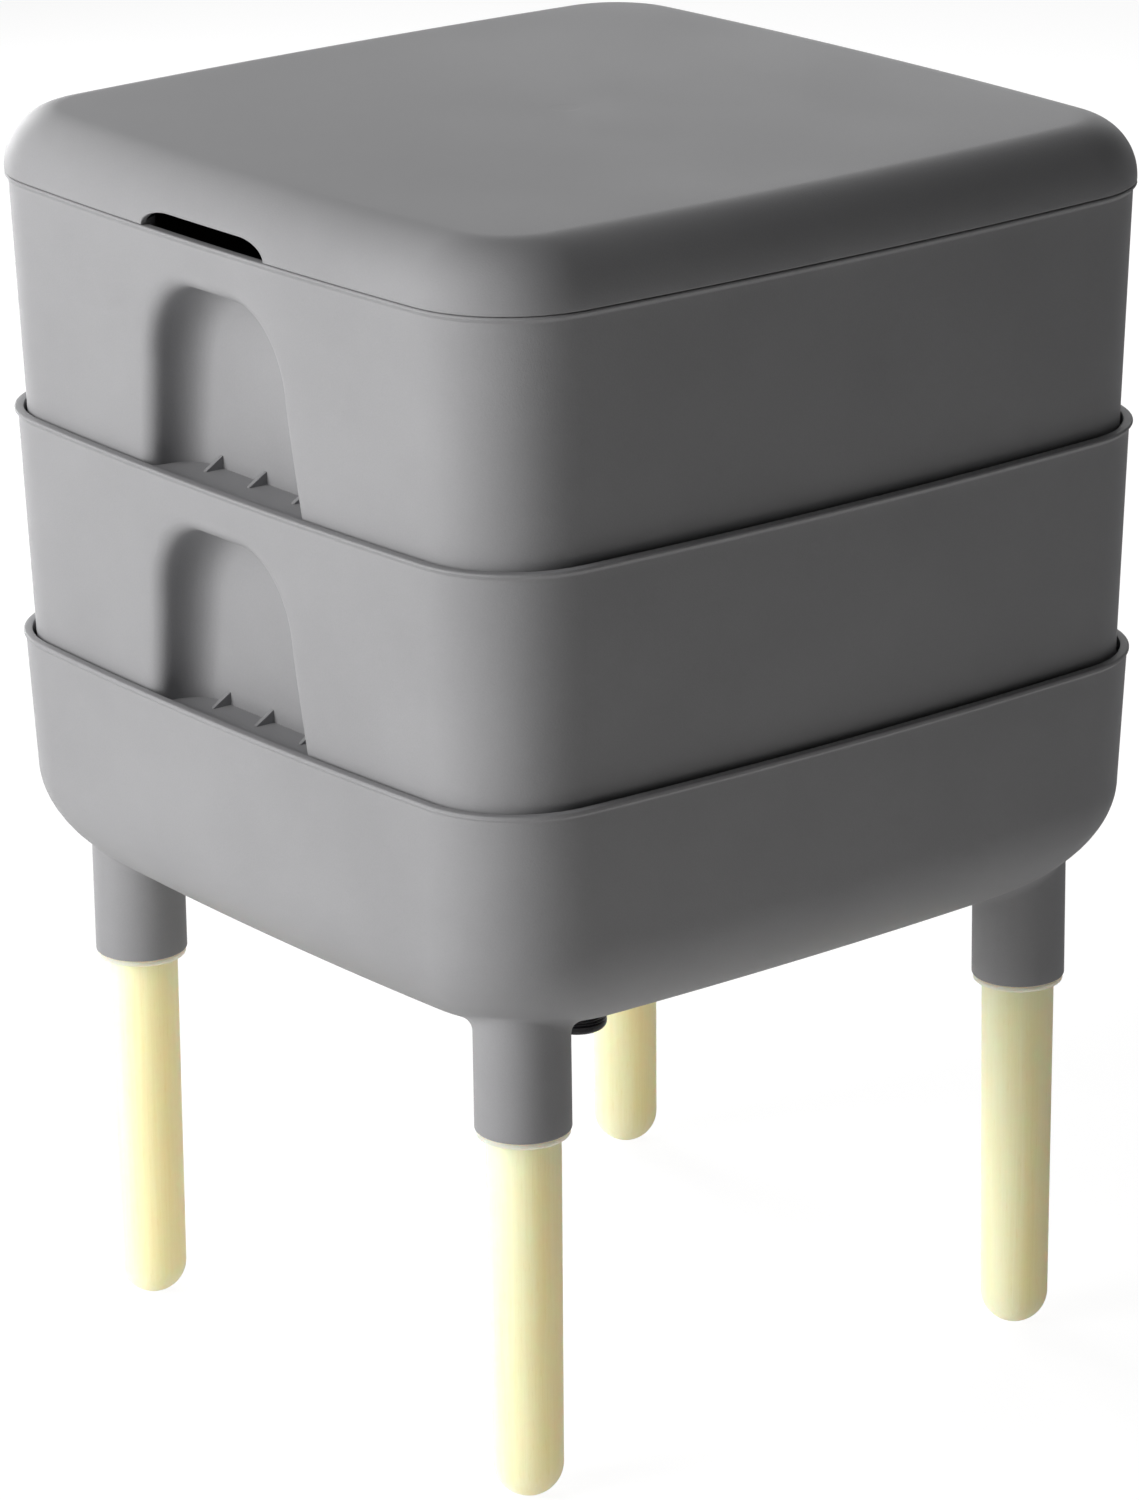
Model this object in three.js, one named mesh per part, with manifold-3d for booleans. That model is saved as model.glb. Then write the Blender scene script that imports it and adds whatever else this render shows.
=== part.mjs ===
import * as THREE from "three";
import { mergeVertices } from "three/addons/utils/BufferGeometryUtils.js";
import Module from "manifold-3d";

// A wormery: a lid on two stacked working trays with perforated floors, over a collector tray
// on four turned wooden legs, with a drain tap under the collector. Millimetres, +Z up, the
// origin on the floor under the middle, and the face with the finger recesses towards -Y.

const wasm = await Module();
wasm.setup();

// Clearances and cutting
const gap = 0.3;
const overrun = 6;
const weld = 0.01;
const wholeTurn = 2 * Math.PI;

// Outline that every rim shares: a rounded square whose sides bow outwards
const productWidth = 390;
const sideBowRadius = 2348;
const rimCornerRadius = 52.4;
const sideSteps = 4;
const cornerSteps = 6;

// Working trays
const trayHeight = 124.1;
const trayWall = 2.6;
const trayBead = 1.65;
const beadHeight = 1.9;
const rimEdgeRadius = 0.6;
const nestClearance = 2.15;
const nestDrop = 17.4;
const trayFloor = 2.6;
const trayFootRadius = 3;
const drainHoleRadius = 4;
const drainHolePitch = 44;
const drainHolesAcross = 6;
const holeSteps = 8;

// Finger recess in the front and back wall of each working tray
const recessTopDrop = 23.2;
const skirtHeight = 14.5;
const recessFootHalf = 53.5;
const recessShoulderHalf = 46.8;
const recessCrownHalf = 15;
const recessRiseShare = 0.427;
const recessBackInset = 29.9;
const recessEdgeRadius = 7.5;
const recessBackRadius = 14;
const archSteps = 4;
const recessEdgeSteps = 2;
const recessBackSteps = 3;
const recessLeadAngle = 0.35;
const recessLead = 1;
const gussetPitch = 32;
const gussetReach = 9.3;
const gussetHeight = 5.6;
const gussetThickness = 2;
const gussetCount = 3;
const stopHalf = 13;
const stopOuterInset = 8;
const stopInnerInset = 21;
const stopRoot = 0.6;

// Collector tray
const baseHeight = 155.85;
const baseWall = 3;
const baseBead = 0.95;
const baseBeadHeight = 2.1;
const baseStraightHeight = 61.8;
const baseWallInset = 2.2;
const bowlInset = 64.7;
const bowlDepth = 55.1;
const bowlEndAngle = 1.4;
const bowlSteps = 6;
const outletLandRadius = 24;
const outletLandThickness = 4;
const seatDrop = 20.65;
const seatRibReach = 7;
const seatRibHeight = 26;
const seatRibThickness = 3;
const seatRibSpread = 70;

// Leg sockets and turned legs
const legInset = 53.1;
const socketRadius = 20.9;
const socketBlendReach = 13;
const socketSteps = 16;
const blendSteps = 4;
const tenonRadius = 16.5;
const tenonLength = 42;
const tenonChamfer = 1.5;
const legReach = 170.35;
const legTopRadius = 16.3;
const legFootRadius = 15.3;
const footFlatRadius = 4;
const shoulderRadius = 20.2;
const shoulderThickness = 2.5;
const shoulderEdge = 0.8;
const legSteps = 16;

// Lid
const lidSideHeight = 1.6;
const lidRoundInset = 25.8;
const lidRoundHeight = 25.8;
const lidCrown = 1;
const lidWall = 2.6;
const lidLipDepth = 8;
const lidLipThickness = 2.4;
const lidLipClearance = 0.9;
const lidSeatThickness = 3;
const lidRoundSteps = 5;
const notchFootHalf = 44;
const notchHeadHalf = 25;
const notchHeight = 7.8;
const notchCut = 18;
const notchSteps = 4;

// Moisture mat laid in the upper tray
const matThickness = 5;
const matMargin = 12;
const matCornerRadius = 30;

// Drain tap, from the outlet down
const shankRadius = 10;
const tapBoreRadius = 6.5;
const flangeRadius = 19;
const flangeThickness = 3;
const washerRadius = 18;
const washerThickness = 2;
const nutRadius = 18.5;
const nutThickness = 7;
const nutSides = 6;
const tapDrop = 56;
const collarRadius = 13.7;
const collarHeight = 34;
const collarFloor = 3;
const collarRunning = 0.4;
const collarEdge = 3;
const ringCount = 4;
const ringPitch = 4.5;
const ringGroove = 0.9;
const sealDiscThickness = 2;
const endWall = 2;
const portRadius = 2.4;
const portOffset = 3.5;
const clipThickness = 1.4;
const clipGrooveDepth = 1.4;
const clipStandOut = 1.6;
const clipDrop = 9;
const clipSplit = 3;
const oRingRadius = 0.9;
const oRingDrop = 17;
const strainerRadius = 12;
const strainerThickness = 1.6;
const strainerSkirt = 5;
const strainerSkirtWall = 1.2;
const strainerHoleRadius = 1.1;
const strainerHoleCircle = 3.2;
const strainerHoles = 6;
const tapSteps = 16;

// Colours
const greyPlastic = 0x8b8b8d;
const blackPlastic = 0x17161b;
const paleWood = 0xe9e2bd;
const blackRubber = 0x121212;
const steel = 0xb9bbbd;
const jute = 0xa98a5c;

// Heights from the floor up
const socketMouthZ = legReach + gap;
const baseRimZ = socketMouthZ + baseHeight;
const middleRimZ = baseRimZ - seatDrop + gap + trayHeight;
const upperRimZ = middleRimZ - nestDrop + gap + trayHeight;
const lidSeatZ = upperRimZ + gap;

// Half widths of the shells
const rimHalf = productWidth / 2;
const trayWallHalf = rimHalf - trayBead;
const trayInnerHalf = trayWallHalf - trayWall;
const trayFootHalf = trayInnerHalf - nestClearance;
const wallDraftShare = (trayWallHalf - trayFootHalf) / (trayHeight - beadHeight);
const baseWallHalf = rimHalf - baseBead;
const bowlHalf = baseWallHalf - baseWallInset;

// A closed mesh as a manifold solid
function solidOf(geometry) {
  const bare = geometry.clone();
  bare.deleteAttribute("normal");
  bare.deleteAttribute("uv");
  const merged = mergeVertices(bare);
  return new wasm.Manifold(
    new wasm.Mesh({
      numProp: 3,
      vertProperties: merged.attributes.position.array,
      triVerts: new Uint32Array(merged.index.array),
    }),
  );
}

// A manifold solid as a three.js geometry, with corners closer than the weld made one
function geometryOf(solid) {
  const result = solid.asOriginal().simplify(weld).getMesh();
  const count = result.vertProperties.length / result.numProp;
  const positions = new Float32Array(count * 3);
  for (let i = 0; i < count; i++) {
    const start = i * result.numProp;
    positions.set(result.vertProperties.subarray(start, start + 3), i * 3);
  }
  const geometry = new THREE.BufferGeometry();
  geometry.setAttribute("position", new THREE.BufferAttribute(positions, 3));
  geometry.setIndex(new THREE.BufferAttribute(result.triVerts, 1));
  geometry.computeVertexNormals();
  return geometry;
}

// A closed solid through rings of equally many points, with a fan over each end. The rings
// turn anticlockwise about the direction in which they follow one another.
function loft(rings) {
  const positions = [];
  const triangles = [];
  const around = rings[0].length;
  for (const ring of rings) {
    for (const point of ring) {
      positions.push(point.x, point.y, point.z);
    }
  }
  for (let i = 0; i + 1 < rings.length; i++) {
    for (let j = 0; j < around; j++) {
      const here = i * around + j;
      const beside = i * around + ((j + 1) % around);
      triangles.push(here, beside, beside + around, here, beside + around, here + around);
    }
  }
  const last = (rings.length - 1) * around;
  const ends = [rings[0], rings[rings.length - 1]];
  ends.forEach((ring, end) => {
    const middle = new THREE.Vector3();
    ring.forEach((point) => middle.addScaledVector(point, 1 / around));
    positions.push(middle.x, middle.y, middle.z);
    const centre = rings.length * around + end;
    for (let j = 0; j < around; j++) {
      const next = (j + 1) % around;
      if (end === 0) {
        triangles.push(centre, next, j);
      } else {
        triangles.push(centre, last + j, last + next);
      }
    }
  });
  const geometry = new THREE.BufferGeometry();
  geometry.setAttribute("position", new THREE.Float32BufferAttribute(positions, 3));
  geometry.setIndex(triangles);
  return geometry;
}

// A profile of [radius, height] points turned about the Z axis, listed from the bottom up
function turned(profile, steps) {
  const points = profile.map(([radius, height]) => new THREE.Vector2(radius, height));
  const geometry = new THREE.LatheGeometry(points, steps);
  geometry.rotateX(Math.PI / 2);
  return solidOf(geometry);
}

// An upright disc or drum between two heights
function drum(radius, low, high, steps, x = 0, y = 0) {
  const geometry = new THREE.CylinderGeometry(radius, radius, high - low, steps);
  geometry.rotateX(Math.PI / 2);
  geometry.translate(x, y, (low + high) / 2);
  return solidOf(geometry);
}

// A flat shape in X and Y raised between two heights
function raised(shape, low, high, curveSegments) {
  const settings = { depth: high - low, bevelEnabled: false, curveSegments };
  const geometry = new THREE.ExtrudeGeometry(shape, settings);
  geometry.translate(0, 0, low);
  return solidOf(geometry);
}

// A shape drawn in X and Z, run along Y from one place to another
function runAlongY(shape, from, to) {
  const settings = { depth: to - from, bevelEnabled: false, curveSegments: cornerSteps };
  const geometry = new THREE.ExtrudeGeometry(shape, settings);
  geometry.rotateX(Math.PI / 2);
  return geometry.translate(0, to, 0);
}

// X and Y of the corner arc's centre in an outline of this half width, bow and corner radius
function cornerCentre(half, bow, corner) {
  const across = half - bow;
  return (across + Math.sqrt(2 * (bow - corner) ** 2 - across ** 2)) / 2;
}

// Points of the bowed rounded square at one height
function outline(half, corner, z) {
  const bow = sideBowRadius - (rimHalf - half);
  const across = half - bow;
  const centre = cornerCentre(half, bow, corner);
  const turn = Math.atan2(centre, centre - across);
  const points = [];
  for (let side = 0; side < 4; side++) {
    const quarter = new THREE.Matrix4().makeRotationZ((side * Math.PI) / 2);
    for (let i = 0; i < sideSteps; i++) {
      const angle = -turn + (2 * turn * i) / sideSteps;
      const x = across + bow * Math.cos(angle);
      points.push(new THREE.Vector3(x, bow * Math.sin(angle), z).applyMatrix4(quarter));
    }
    for (let i = 0; i < cornerSteps; i++) {
      const angle = turn + ((Math.PI / 2 - 2 * turn) * i) / cornerSteps;
      const x = centre + corner * Math.cos(angle);
      const y = centre + corner * Math.sin(angle);
      points.push(new THREE.Vector3(x, y, z).applyMatrix4(quarter));
    }
  }
  return points;
}

// The rim's outline moved in evenly on all sides to a half width
function rimOutline(half, z) {
  return outline(half, rimCornerRadius - (rimHalf - half), z);
}

// Half width of a working tray's outer wall at a height above its own foot
function trayHalfAt(height) {
  return trayFootHalf + height * wallDraftShare;
}

// Arch of the finger recess as points in X and Z with their outward directions, from the
// left foot over the crown to the right foot, at heights above the tray's own foot
function archPoints() {
  const rise = (trayHeight - recessTopDrop - skirtHeight) * recessRiseShare;
  const shoulderZ = trayHeight - recessTopDrop - rise;
  const reach = recessShoulderHalf - recessCrownHalf;
  const points = [];
  for (let i = 0; i <= archSteps; i++) {
    const angle = (Math.PI / 2) * (i / archSteps);
    const x = recessCrownHalf + reach * Math.cos(angle);
    const z = shoulderZ + rise * Math.sin(angle);
    const out = new THREE.Vector2(rise * Math.cos(angle), reach * Math.sin(angle)).normalize();
    points.push({ x, z, outX: out.x, outZ: out.y });
  }
  points.unshift({ x: recessFootHalf, z: skirtHeight, outX: 1, outZ: 0 });
  const left = points.map((p) => ({ x: -p.x, z: p.z, outX: -p.outX, outZ: p.outZ }));
  return left.concat(points.reverse());
}

// The closed form of the recess in the front wall. With no thickness it is what the outside loses,
// and with the wall's thickness it is what the inside keeps round that.
function recess(thickness) {
  const arch = archPoints();
  const backY = thickness - (rimHalf - recessBackInset);
  const wallY = (x, z) => {
    const half = trayHalfAt(z);
    const bow = sideBowRadius - (rimHalf - half);
    return -(half - bow + Math.sqrt(bow ** 2 - x ** 2));
  };
  const ring = (grow, placeY) =>
    arch.map((p) => {
      const x = p.x + p.outX * grow;
      const foot = p.z === skirtHeight ? thickness : 0;
      const z = p.z + p.outZ * grow - foot;
      return new THREE.Vector3(x, placeY(x, z), z);
    });
  const edgeRest = recessEdgeRadius - thickness;
  const leadDepth = recessEdgeRadius - edgeRest * Math.cos(recessLeadAngle);
  const leadGrow = recessEdgeRadius - edgeRest * Math.sin(recessLeadAngle);
  const outGrow = leadGrow + (leadDepth - thickness + recessLead) / Math.tan(recessLeadAngle);
  const rings = [
    ring(outGrow, () => -rimHalf - overrun),
    ring(outGrow, (x, z) => wallY(x, z) + thickness - recessLead),
  ];
  for (let i = 0; i <= recessEdgeSteps; i++) {
    const angle = recessLeadAngle + (Math.PI / 2 - recessLeadAngle) * (i / recessEdgeSteps);
    const depth = recessEdgeRadius - edgeRest * Math.cos(angle);
    const grow = recessEdgeRadius - edgeRest * Math.sin(angle);
    rings.push(ring(grow, (x, z) => wallY(x, z) + depth));
  }
  const backRadius = recessBackRadius + thickness;
  for (let i = 0; i <= recessBackSteps; i++) {
    const angle = (Math.PI / 2) * (i / recessBackSteps);
    const grow = thickness - backRadius * (1 - Math.cos(angle));
    const y = backY - backRadius * (1 - Math.sin(angle));
    rings.push(ring(grow, () => y));
  }
  return loft(rings);
}

// The small gussets that stand on each recess's ledge against its back wall
function gussets() {
  const backY = recessBackInset - rimHalf;
  const shape = new THREE.Shape([
    new THREE.Vector2(gussetThickness, -gussetThickness),
    new THREE.Vector2(-gussetReach, -gussetThickness),
    new THREE.Vector2(-gussetReach, 0),
    new THREE.Vector2(0, gussetHeight),
    new THREE.Vector2(gussetThickness, gussetHeight),
  ]);
  const settings = { depth: gussetThickness, bevelEnabled: false };
  const one = new THREE.ExtrudeGeometry(shape, settings);
  one.translate(0, 0, -gussetThickness / 2);
  one.rotateX(Math.PI / 2);
  one.rotateZ(Math.PI / 2);
  const middle = (gussetCount - 1) / 2;
  const solids = [];
  for (let i = 0; i < gussetCount; i++) {
    const placed = one.clone();
    placed.translate((i - middle) * gussetPitch, backY, skirtHeight);
    solids.push(frontAndBack(placed));
  }
  return wasm.Manifold.union(solids);
}

// The two stops on the recess roofs that the next tray's floor stands on
function nestStops() {
  const lowZ = trayHeight - recessTopDrop + stopRoot;
  const highZ = trayHeight - nestDrop;
  const reach = stopInnerInset - stopOuterInset;
  const one = new THREE.BoxGeometry(2 * stopHalf, reach, highZ - lowZ);
  one.translate(0, stopOuterInset + reach / 2 - rimHalf, (lowZ + highZ) / 2);
  return frontAndBack(one);
}

// Both of a pair that face -Y and +Y
function frontAndBack(geometry) {
  return solidOf(geometry).add(solidOf(geometry.clone().rotateZ(Math.PI)));
}

// A working tray with its foot at height zero
function workingTray() {
  const wallTopZ = trayHeight - beadHeight;
  const outer = [rimOutline(trayFootHalf - trayFootRadius, 0)];
  const footSteps = 2;
  for (let i = 1; i <= footSteps; i++) {
    const angle = (Math.PI / 2) * (i / footSteps);
    const half = trayFootHalf - trayFootRadius * (1 - Math.sin(angle));
    outer.push(rimOutline(half, trayFootRadius * (1 - Math.cos(angle))));
  }
  outer.push(rimOutline(trayWallHalf, wallTopZ - trayBead / 2));
  outer.push(rimOutline(rimHalf, wallTopZ + trayBead / 2));
  outer.push(rimOutline(rimHalf, trayHeight - rimEdgeRadius));
  outer.push(rimOutline(rimHalf - rimEdgeRadius, trayHeight));
  const inner = [
    rimOutline(trayFootHalf - trayWall, trayFloor),
    rimOutline(trayInnerHalf, trayHeight - rimEdgeRadius),
    rimOutline(trayInnerHalf + rimEdgeRadius, trayHeight),
    rimOutline(trayInnerHalf + rimEdgeRadius, trayHeight + overrun),
  ];
  const shell = solidOf(loft(outer)).subtract(frontAndBack(recess(0)));
  const space = solidOf(loft(inner)).subtract(frontAndBack(recess(trayWall)));
  const tray = shell.subtract(space).add(gussets()).add(nestStops());
  const holes = [];
  const middle = (drainHolesAcross - 1) / 2;
  for (let i = 0; i < drainHolesAcross; i++) {
    for (let j = 0; j < drainHolesAcross; j++) {
      const x = (i - middle) * drainHolePitch;
      const y = (j - middle) * drainHolePitch;
      holes.push(drum(drainHoleRadius, -overrun, trayFloor + overrun, holeSteps, x, y));
    }
  }
  return tray.subtract(wasm.Manifold.union(holes));
}

// The collector's side profile: a straight wall, then an elliptic bowl, then a straight fall
// to the outlet. Each entry has the half width, the corner radius and the height, moved in
// from the outside by a thickness.
function bowlProfile(thickness) {
  const wallFootZ = baseRimZ - baseStraightHeight;
  const levels = [];
  for (let i = 0; i <= bowlSteps; i++) {
    const angle = bowlEndAngle * (i / bowlSteps);
    const out = new THREE.Vector2(bowlDepth * Math.cos(angle), -bowlInset * Math.sin(angle));
    out.normalize();
    const half = bowlHalf - bowlInset * (1 - Math.cos(angle)) - out.x * thickness;
    const z = wallFootZ - bowlDepth * Math.sin(angle) - out.y * thickness;
    levels.push({ half, corner: rimCornerRadius - thickness * out.x, z });
  }
  const end = levels[levels.length - 1];
  const fallShare = bowlDepth / (bowlInset * Math.tan(bowlEndAngle));
  const landZ = end.z - (end.half - outletLandRadius) * fallShare;
  levels.push({ half: outletLandRadius, corner: outletLandRadius, z: landZ });
  return levels.reverse();
}

// Height of the bowl's outside over a point of the floor plan, found by halving
function bowlHeightAt(x, y) {
  const levels = bowlProfile(0);
  const reach = Math.hypot(x, y);
  const direction = Math.atan2(Math.abs(y), Math.abs(x));
  const reachOf = (level) => {
    const bow = sideBowRadius - (rimHalf - level.half);
    const across = level.half - bow;
    const centre = cornerCentre(level.half, bow, level.corner);
    const turn = Math.min(direction, Math.PI / 2 - direction);
    const arcTurn = Math.atan2(centre, centre - across);
    const jointX = centre + level.corner * Math.cos(arcTurn);
    const jointY = centre + level.corner * Math.sin(arcTurn);
    if (turn < Math.atan2(jointY, jointX)) {
      const along = across * Math.cos(turn);
      return along + Math.sqrt(along ** 2 - across ** 2 + bow ** 2);
    }
    const along = centre * (Math.cos(turn) + Math.sin(turn));
    return along + Math.sqrt(along ** 2 - 2 * centre ** 2 + level.corner ** 2);
  };
  for (let i = 0; i + 1 < levels.length; i++) {
    const near = reachOf(levels[i]);
    const far = reachOf(levels[i + 1]);
    if (reach <= far) {
      const share = (reach - near) / (far - near);
      return levels[i].z + (levels[i + 1].z - levels[i].z) * Math.max(share, 0);
    }
  }
  return levels[levels.length - 1].z;
}

// A leg socket with the curved skirt that blends it into the bowl all the way round
function legSocket(x, y) {
  const rings = [];
  for (let i = 0; i <= blendSteps + 2; i++) {
    const ring = [];
    for (let j = 0; j < socketSteps; j++) {
      const angle = (wholeTurn * j) / socketSteps;
      const away = new THREE.Vector2(Math.cos(angle), Math.sin(angle));
      const heightAt = (reach) => bowlHeightAt(x + away.x * reach, y + away.y * reach);
      const outerReach = socketRadius + socketBlendReach;
      const step = socketBlendReach / blendSteps;
      const topZ = heightAt(outerReach);
      const slope = (topZ - heightAt(outerReach - step)) / step;
      const kneeZ = topZ - slope * socketBlendReach;
      const length = socketBlendReach * Math.hypot(1, slope);
      const share = Math.min(Math.max(i - 1, 0) / blendSteps, 1);
      let reach = socketRadius + socketBlendReach * share ** 2;
      let z = (1 - share) ** 2 * (kneeZ - length) + 2 * share * (1 - share) * kneeZ;
      z += share ** 2 * topZ;
      if (i === 0) {
        z = socketMouthZ;
      }
      if (i === blendSteps + 2) {
        reach = socketRadius;
        z = heightAt(socketRadius) + baseWall / 2;
      }
      ring.push(new THREE.Vector3(x + away.x * reach, y + away.y * reach, z));
    }
    rings.push(ring);
  }
  return solidOf(loft(rings));
}

const legAxis = rimHalf - legInset;
const legPlaces = [
  { name: "front_left_leg", x: -legAxis, y: -legAxis },
  { name: "front_right_leg", x: legAxis, y: -legAxis },
  { name: "back_left_leg", x: -legAxis, y: legAxis },
  { name: "back_right_leg", x: legAxis, y: legAxis },
];
const outletLandZ = bowlProfile(0)[0].z;

// Ribs on the collector's inner wall that carry the middle tray
function seatRibs() {
  const bowSag = seatRibSpread ** 2 / (2 * sideBowRadius);
  const wallMiddle = (drop) =>
    baseWallHalf - (baseWallInset * drop) / baseStraightHeight - bowSag - baseWall / 2;
  const footDrop = seatDrop + seatRibHeight;
  const shape = new THREE.Shape([
    new THREE.Vector2(baseWall / 2 + seatRibReach - wallMiddle(seatDrop), baseRimZ - seatDrop),
    new THREE.Vector2(-wallMiddle(seatDrop), baseRimZ - seatDrop),
    new THREE.Vector2(-wallMiddle(footDrop), baseRimZ - footDrop),
    new THREE.Vector2(baseWall / 2 - wallMiddle(footDrop), baseRimZ - footDrop),
  ]);
  const settings = { depth: seatRibThickness, bevelEnabled: false };
  const one = new THREE.ExtrudeGeometry(shape, settings);
  one.translate(0, 0, -seatRibThickness / 2);
  one.rotateX(Math.PI / 2);
  const ribs = [];
  for (let side = 0; side < 4; side++) {
    for (const sign of [-1, 1]) {
      const placed = one.clone();
      placed.translate(0, sign * seatRibSpread, 0);
      placed.rotateZ((side * Math.PI) / 2);
      ribs.push(solidOf(placed));
    }
  }
  return wasm.Manifold.union(ribs);
}

// The collector tray with its bowl, rim, sockets, seat ribs and outlet
function baseTray() {
  const wallTopZ = baseRimZ - baseBeadHeight;
  const outerRings = bowlProfile(0).map((level) => outline(level.half, level.corner, level.z));
  outerRings.push(rimOutline(baseWallHalf, wallTopZ - baseBead / 2));
  outerRings.push(rimOutline(rimHalf, wallTopZ + baseBead / 2));
  outerRings.push(rimOutline(rimHalf, baseRimZ - rimEdgeRadius));
  outerRings.push(rimOutline(rimHalf - rimEdgeRadius, baseRimZ));
  const innerHalf = baseWallHalf - baseWall;
  const innerLevels = bowlProfile(baseWall);
  const innerRings = innerLevels.map((level) => outline(level.half, level.corner, level.z));
  innerRings.push(rimOutline(innerHalf, baseRimZ - rimEdgeRadius));
  innerRings.push(rimOutline(innerHalf + rimEdgeRadius, baseRimZ));
  innerRings.push(rimOutline(innerHalf + rimEdgeRadius, baseRimZ + overrun));
  const landTopZ = outletLandZ + outletLandThickness;
  let outer = solidOf(loft(outerRings));
  let bores = drum(shankRadius + gap, outletLandZ - overrun, landTopZ + overrun, tapSteps);
  for (const place of legPlaces) {
    outer = outer.add(legSocket(place.x, place.y));
    const boreTopZ = socketMouthZ + tenonLength + gap;
    const radius = tenonRadius + gap;
    const from = socketMouthZ - overrun;
    bores = bores.add(drum(radius, from, boreTopZ, socketSteps, place.x, place.y));
  }
  const land = drum(outletLandRadius, outletLandZ, landTopZ, tapSteps);
  const space = solidOf(loft(innerRings)).subtract(land);
  return outer.subtract(space).add(seatRibs()).subtract(bores);
}

// A turned leg: a tenon, a shoulder that the socket's mouth stands on, and a tapered shaft
// with a round end, standing at height zero
function turnedLeg() {
  const endSteps = 4;
  const profile = [[0, 0]];
  const startAngle = Math.asin(footFlatRadius / legFootRadius);
  const drop = legFootRadius * Math.cos(startAngle);
  for (let i = 0; i <= endSteps; i++) {
    const angle = startAngle + (Math.PI / 2 - startAngle) * (i / endSteps);
    profile.push([legFootRadius * Math.sin(angle), drop - legFootRadius * Math.cos(angle)]);
  }
  const shoulderZ = legReach - shoulderThickness;
  profile.push([legTopRadius, shoulderZ]);
  profile.push([shoulderRadius - shoulderEdge, shoulderZ]);
  profile.push([shoulderRadius, shoulderZ + shoulderEdge]);
  profile.push([shoulderRadius, legReach]);
  profile.push([tenonRadius, legReach]);
  const tenonTopZ = legReach + tenonLength;
  profile.push([tenonRadius, tenonTopZ - tenonChamfer]);
  profile.push([tenonRadius - tenonChamfer, tenonTopZ]);
  profile.push([0, tenonTopZ]);
  return turned(profile, legSteps);
}

// The lid's shell profile moved in by a thickness
function lidLevels(thickness) {
  const levels = [];
  const sideTopZ = lidSeatZ + lidSideHeight;
  for (let i = 0; i <= lidRoundSteps; i++) {
    const angle = (Math.PI / 2) * (i / lidRoundSteps);
    const across = lidRoundInset - thickness;
    const half = rimHalf - thickness - across * (1 - Math.cos(angle));
    levels.push(rimOutline(half, sideTopZ + (lidRoundHeight - thickness) * Math.sin(angle)));
  }
  const edgeHalf = rimHalf - lidRoundInset;
  const edgeCorner = rimCornerRadius - lidRoundInset;
  const crownShares = [0.7, 0.35];
  for (const share of crownShares) {
    const rise = lidCrown * (1 - share ** 2);
    const z = sideTopZ + lidRoundHeight - thickness + rise;
    levels.push(outline(edgeHalf * share, edgeCorner * share, z));
  }
  return levels;
}

// The lid: a soft crowned shell with a lip that drops inside the upper tray
function lid() {
  const lipHalf = trayInnerHalf - lidLipClearance;
  const lipFootZ = lidSeatZ - lidLipDepth;
  const lipInnerHalf = lipHalf - lidLipThickness;
  const outer = [
    rimOutline(lipHalf - rimEdgeRadius, lipFootZ),
    rimOutline(lipHalf, lipFootZ + rimEdgeRadius),
    rimOutline(lipHalf, lidSeatZ),
    rimOutline(rimHalf - rimEdgeRadius, lidSeatZ),
    rimOutline(rimHalf, lidSeatZ + rimEdgeRadius),
    ...lidLevels(0),
  ];
  const inner = [
    rimOutline(lipInnerHalf, lipFootZ - overrun),
    rimOutline(lipInnerHalf, lidSeatZ + lidSeatThickness),
    ...lidLevels(lidWall),
  ];
  const notch = new THREE.Shape();
  const endReach = notchFootHalf - notchHeadHalf;
  const footZ = lipFootZ - overrun;
  notch.moveTo(-notchFootHalf, footZ);
  notch.lineTo(notchFootHalf, footZ);
  for (let i = 0; i <= notchSteps; i++) {
    const angle = (Math.PI / 2) * (i / notchSteps);
    notch.lineTo(notchHeadHalf + endReach * Math.cos(angle), lidSeatZ + notchHeight * Math.sin(angle));
  }
  for (let i = notchSteps; i >= 0; i--) {
    const angle = (Math.PI / 2) * (i / notchSteps);
    notch.lineTo(-notchHeadHalf - endReach * Math.cos(angle), lidSeatZ + notchHeight * Math.sin(angle));
  }
  notch.closePath();
  const cutter = runAlongY(notch, -rimHalf - overrun, -rimHalf + notchCut);
  return solidOf(loft(outer)).subtract(solidOf(loft(inner))).subtract(frontAndBack(cutter));
}

// The moisture mat: a flat sheet with round corners between the two recesses
function moistureMat() {
  const halfX = trayFootHalf - trayWall - matMargin;
  const halfY = rimHalf - recessBackInset - trayWall - matMargin;
  const low = upperRimZ - trayHeight + trayFloor + gap;
  const cornerX = halfX - matCornerRadius;
  const cornerY = halfY - matCornerRadius;
  const corners = [
    [cornerX, cornerY],
    [-cornerX, cornerY],
    [-cornerX, -cornerY],
    [cornerX, -cornerY],
  ];
  const shape = new THREE.Shape();
  corners.forEach(([x, y], quarter) => {
    const from = (quarter * Math.PI) / 2;
    shape.absarc(x, y, matCornerRadius, from, from + Math.PI / 2);
  });
  shape.closePath();
  return raised(shape, low, low + matThickness, cornerSteps);
}

// Heights of the tap's stack
const innerWasherZ = outletLandZ + outletLandThickness + gap;
const flangeZ = innerWasherZ + washerThickness + gap;
const outerWasherZ = outletLandZ - gap - washerThickness;
const nutZ = outerWasherZ - gap - nutThickness;
const collarFootZ = outletLandZ - tapDrop;
const collarTopZ = collarFootZ + collarHeight;
const sealDiscZ = collarFootZ + collarFloor + gap;
const barrelEndZ = sealDiscZ + sealDiscThickness + gap;
const clipZ = collarTopZ - clipDrop;
const oRingZ = collarTopZ - oRingDrop;
const collarBoreRadius = shankRadius + collarRunning;

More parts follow.
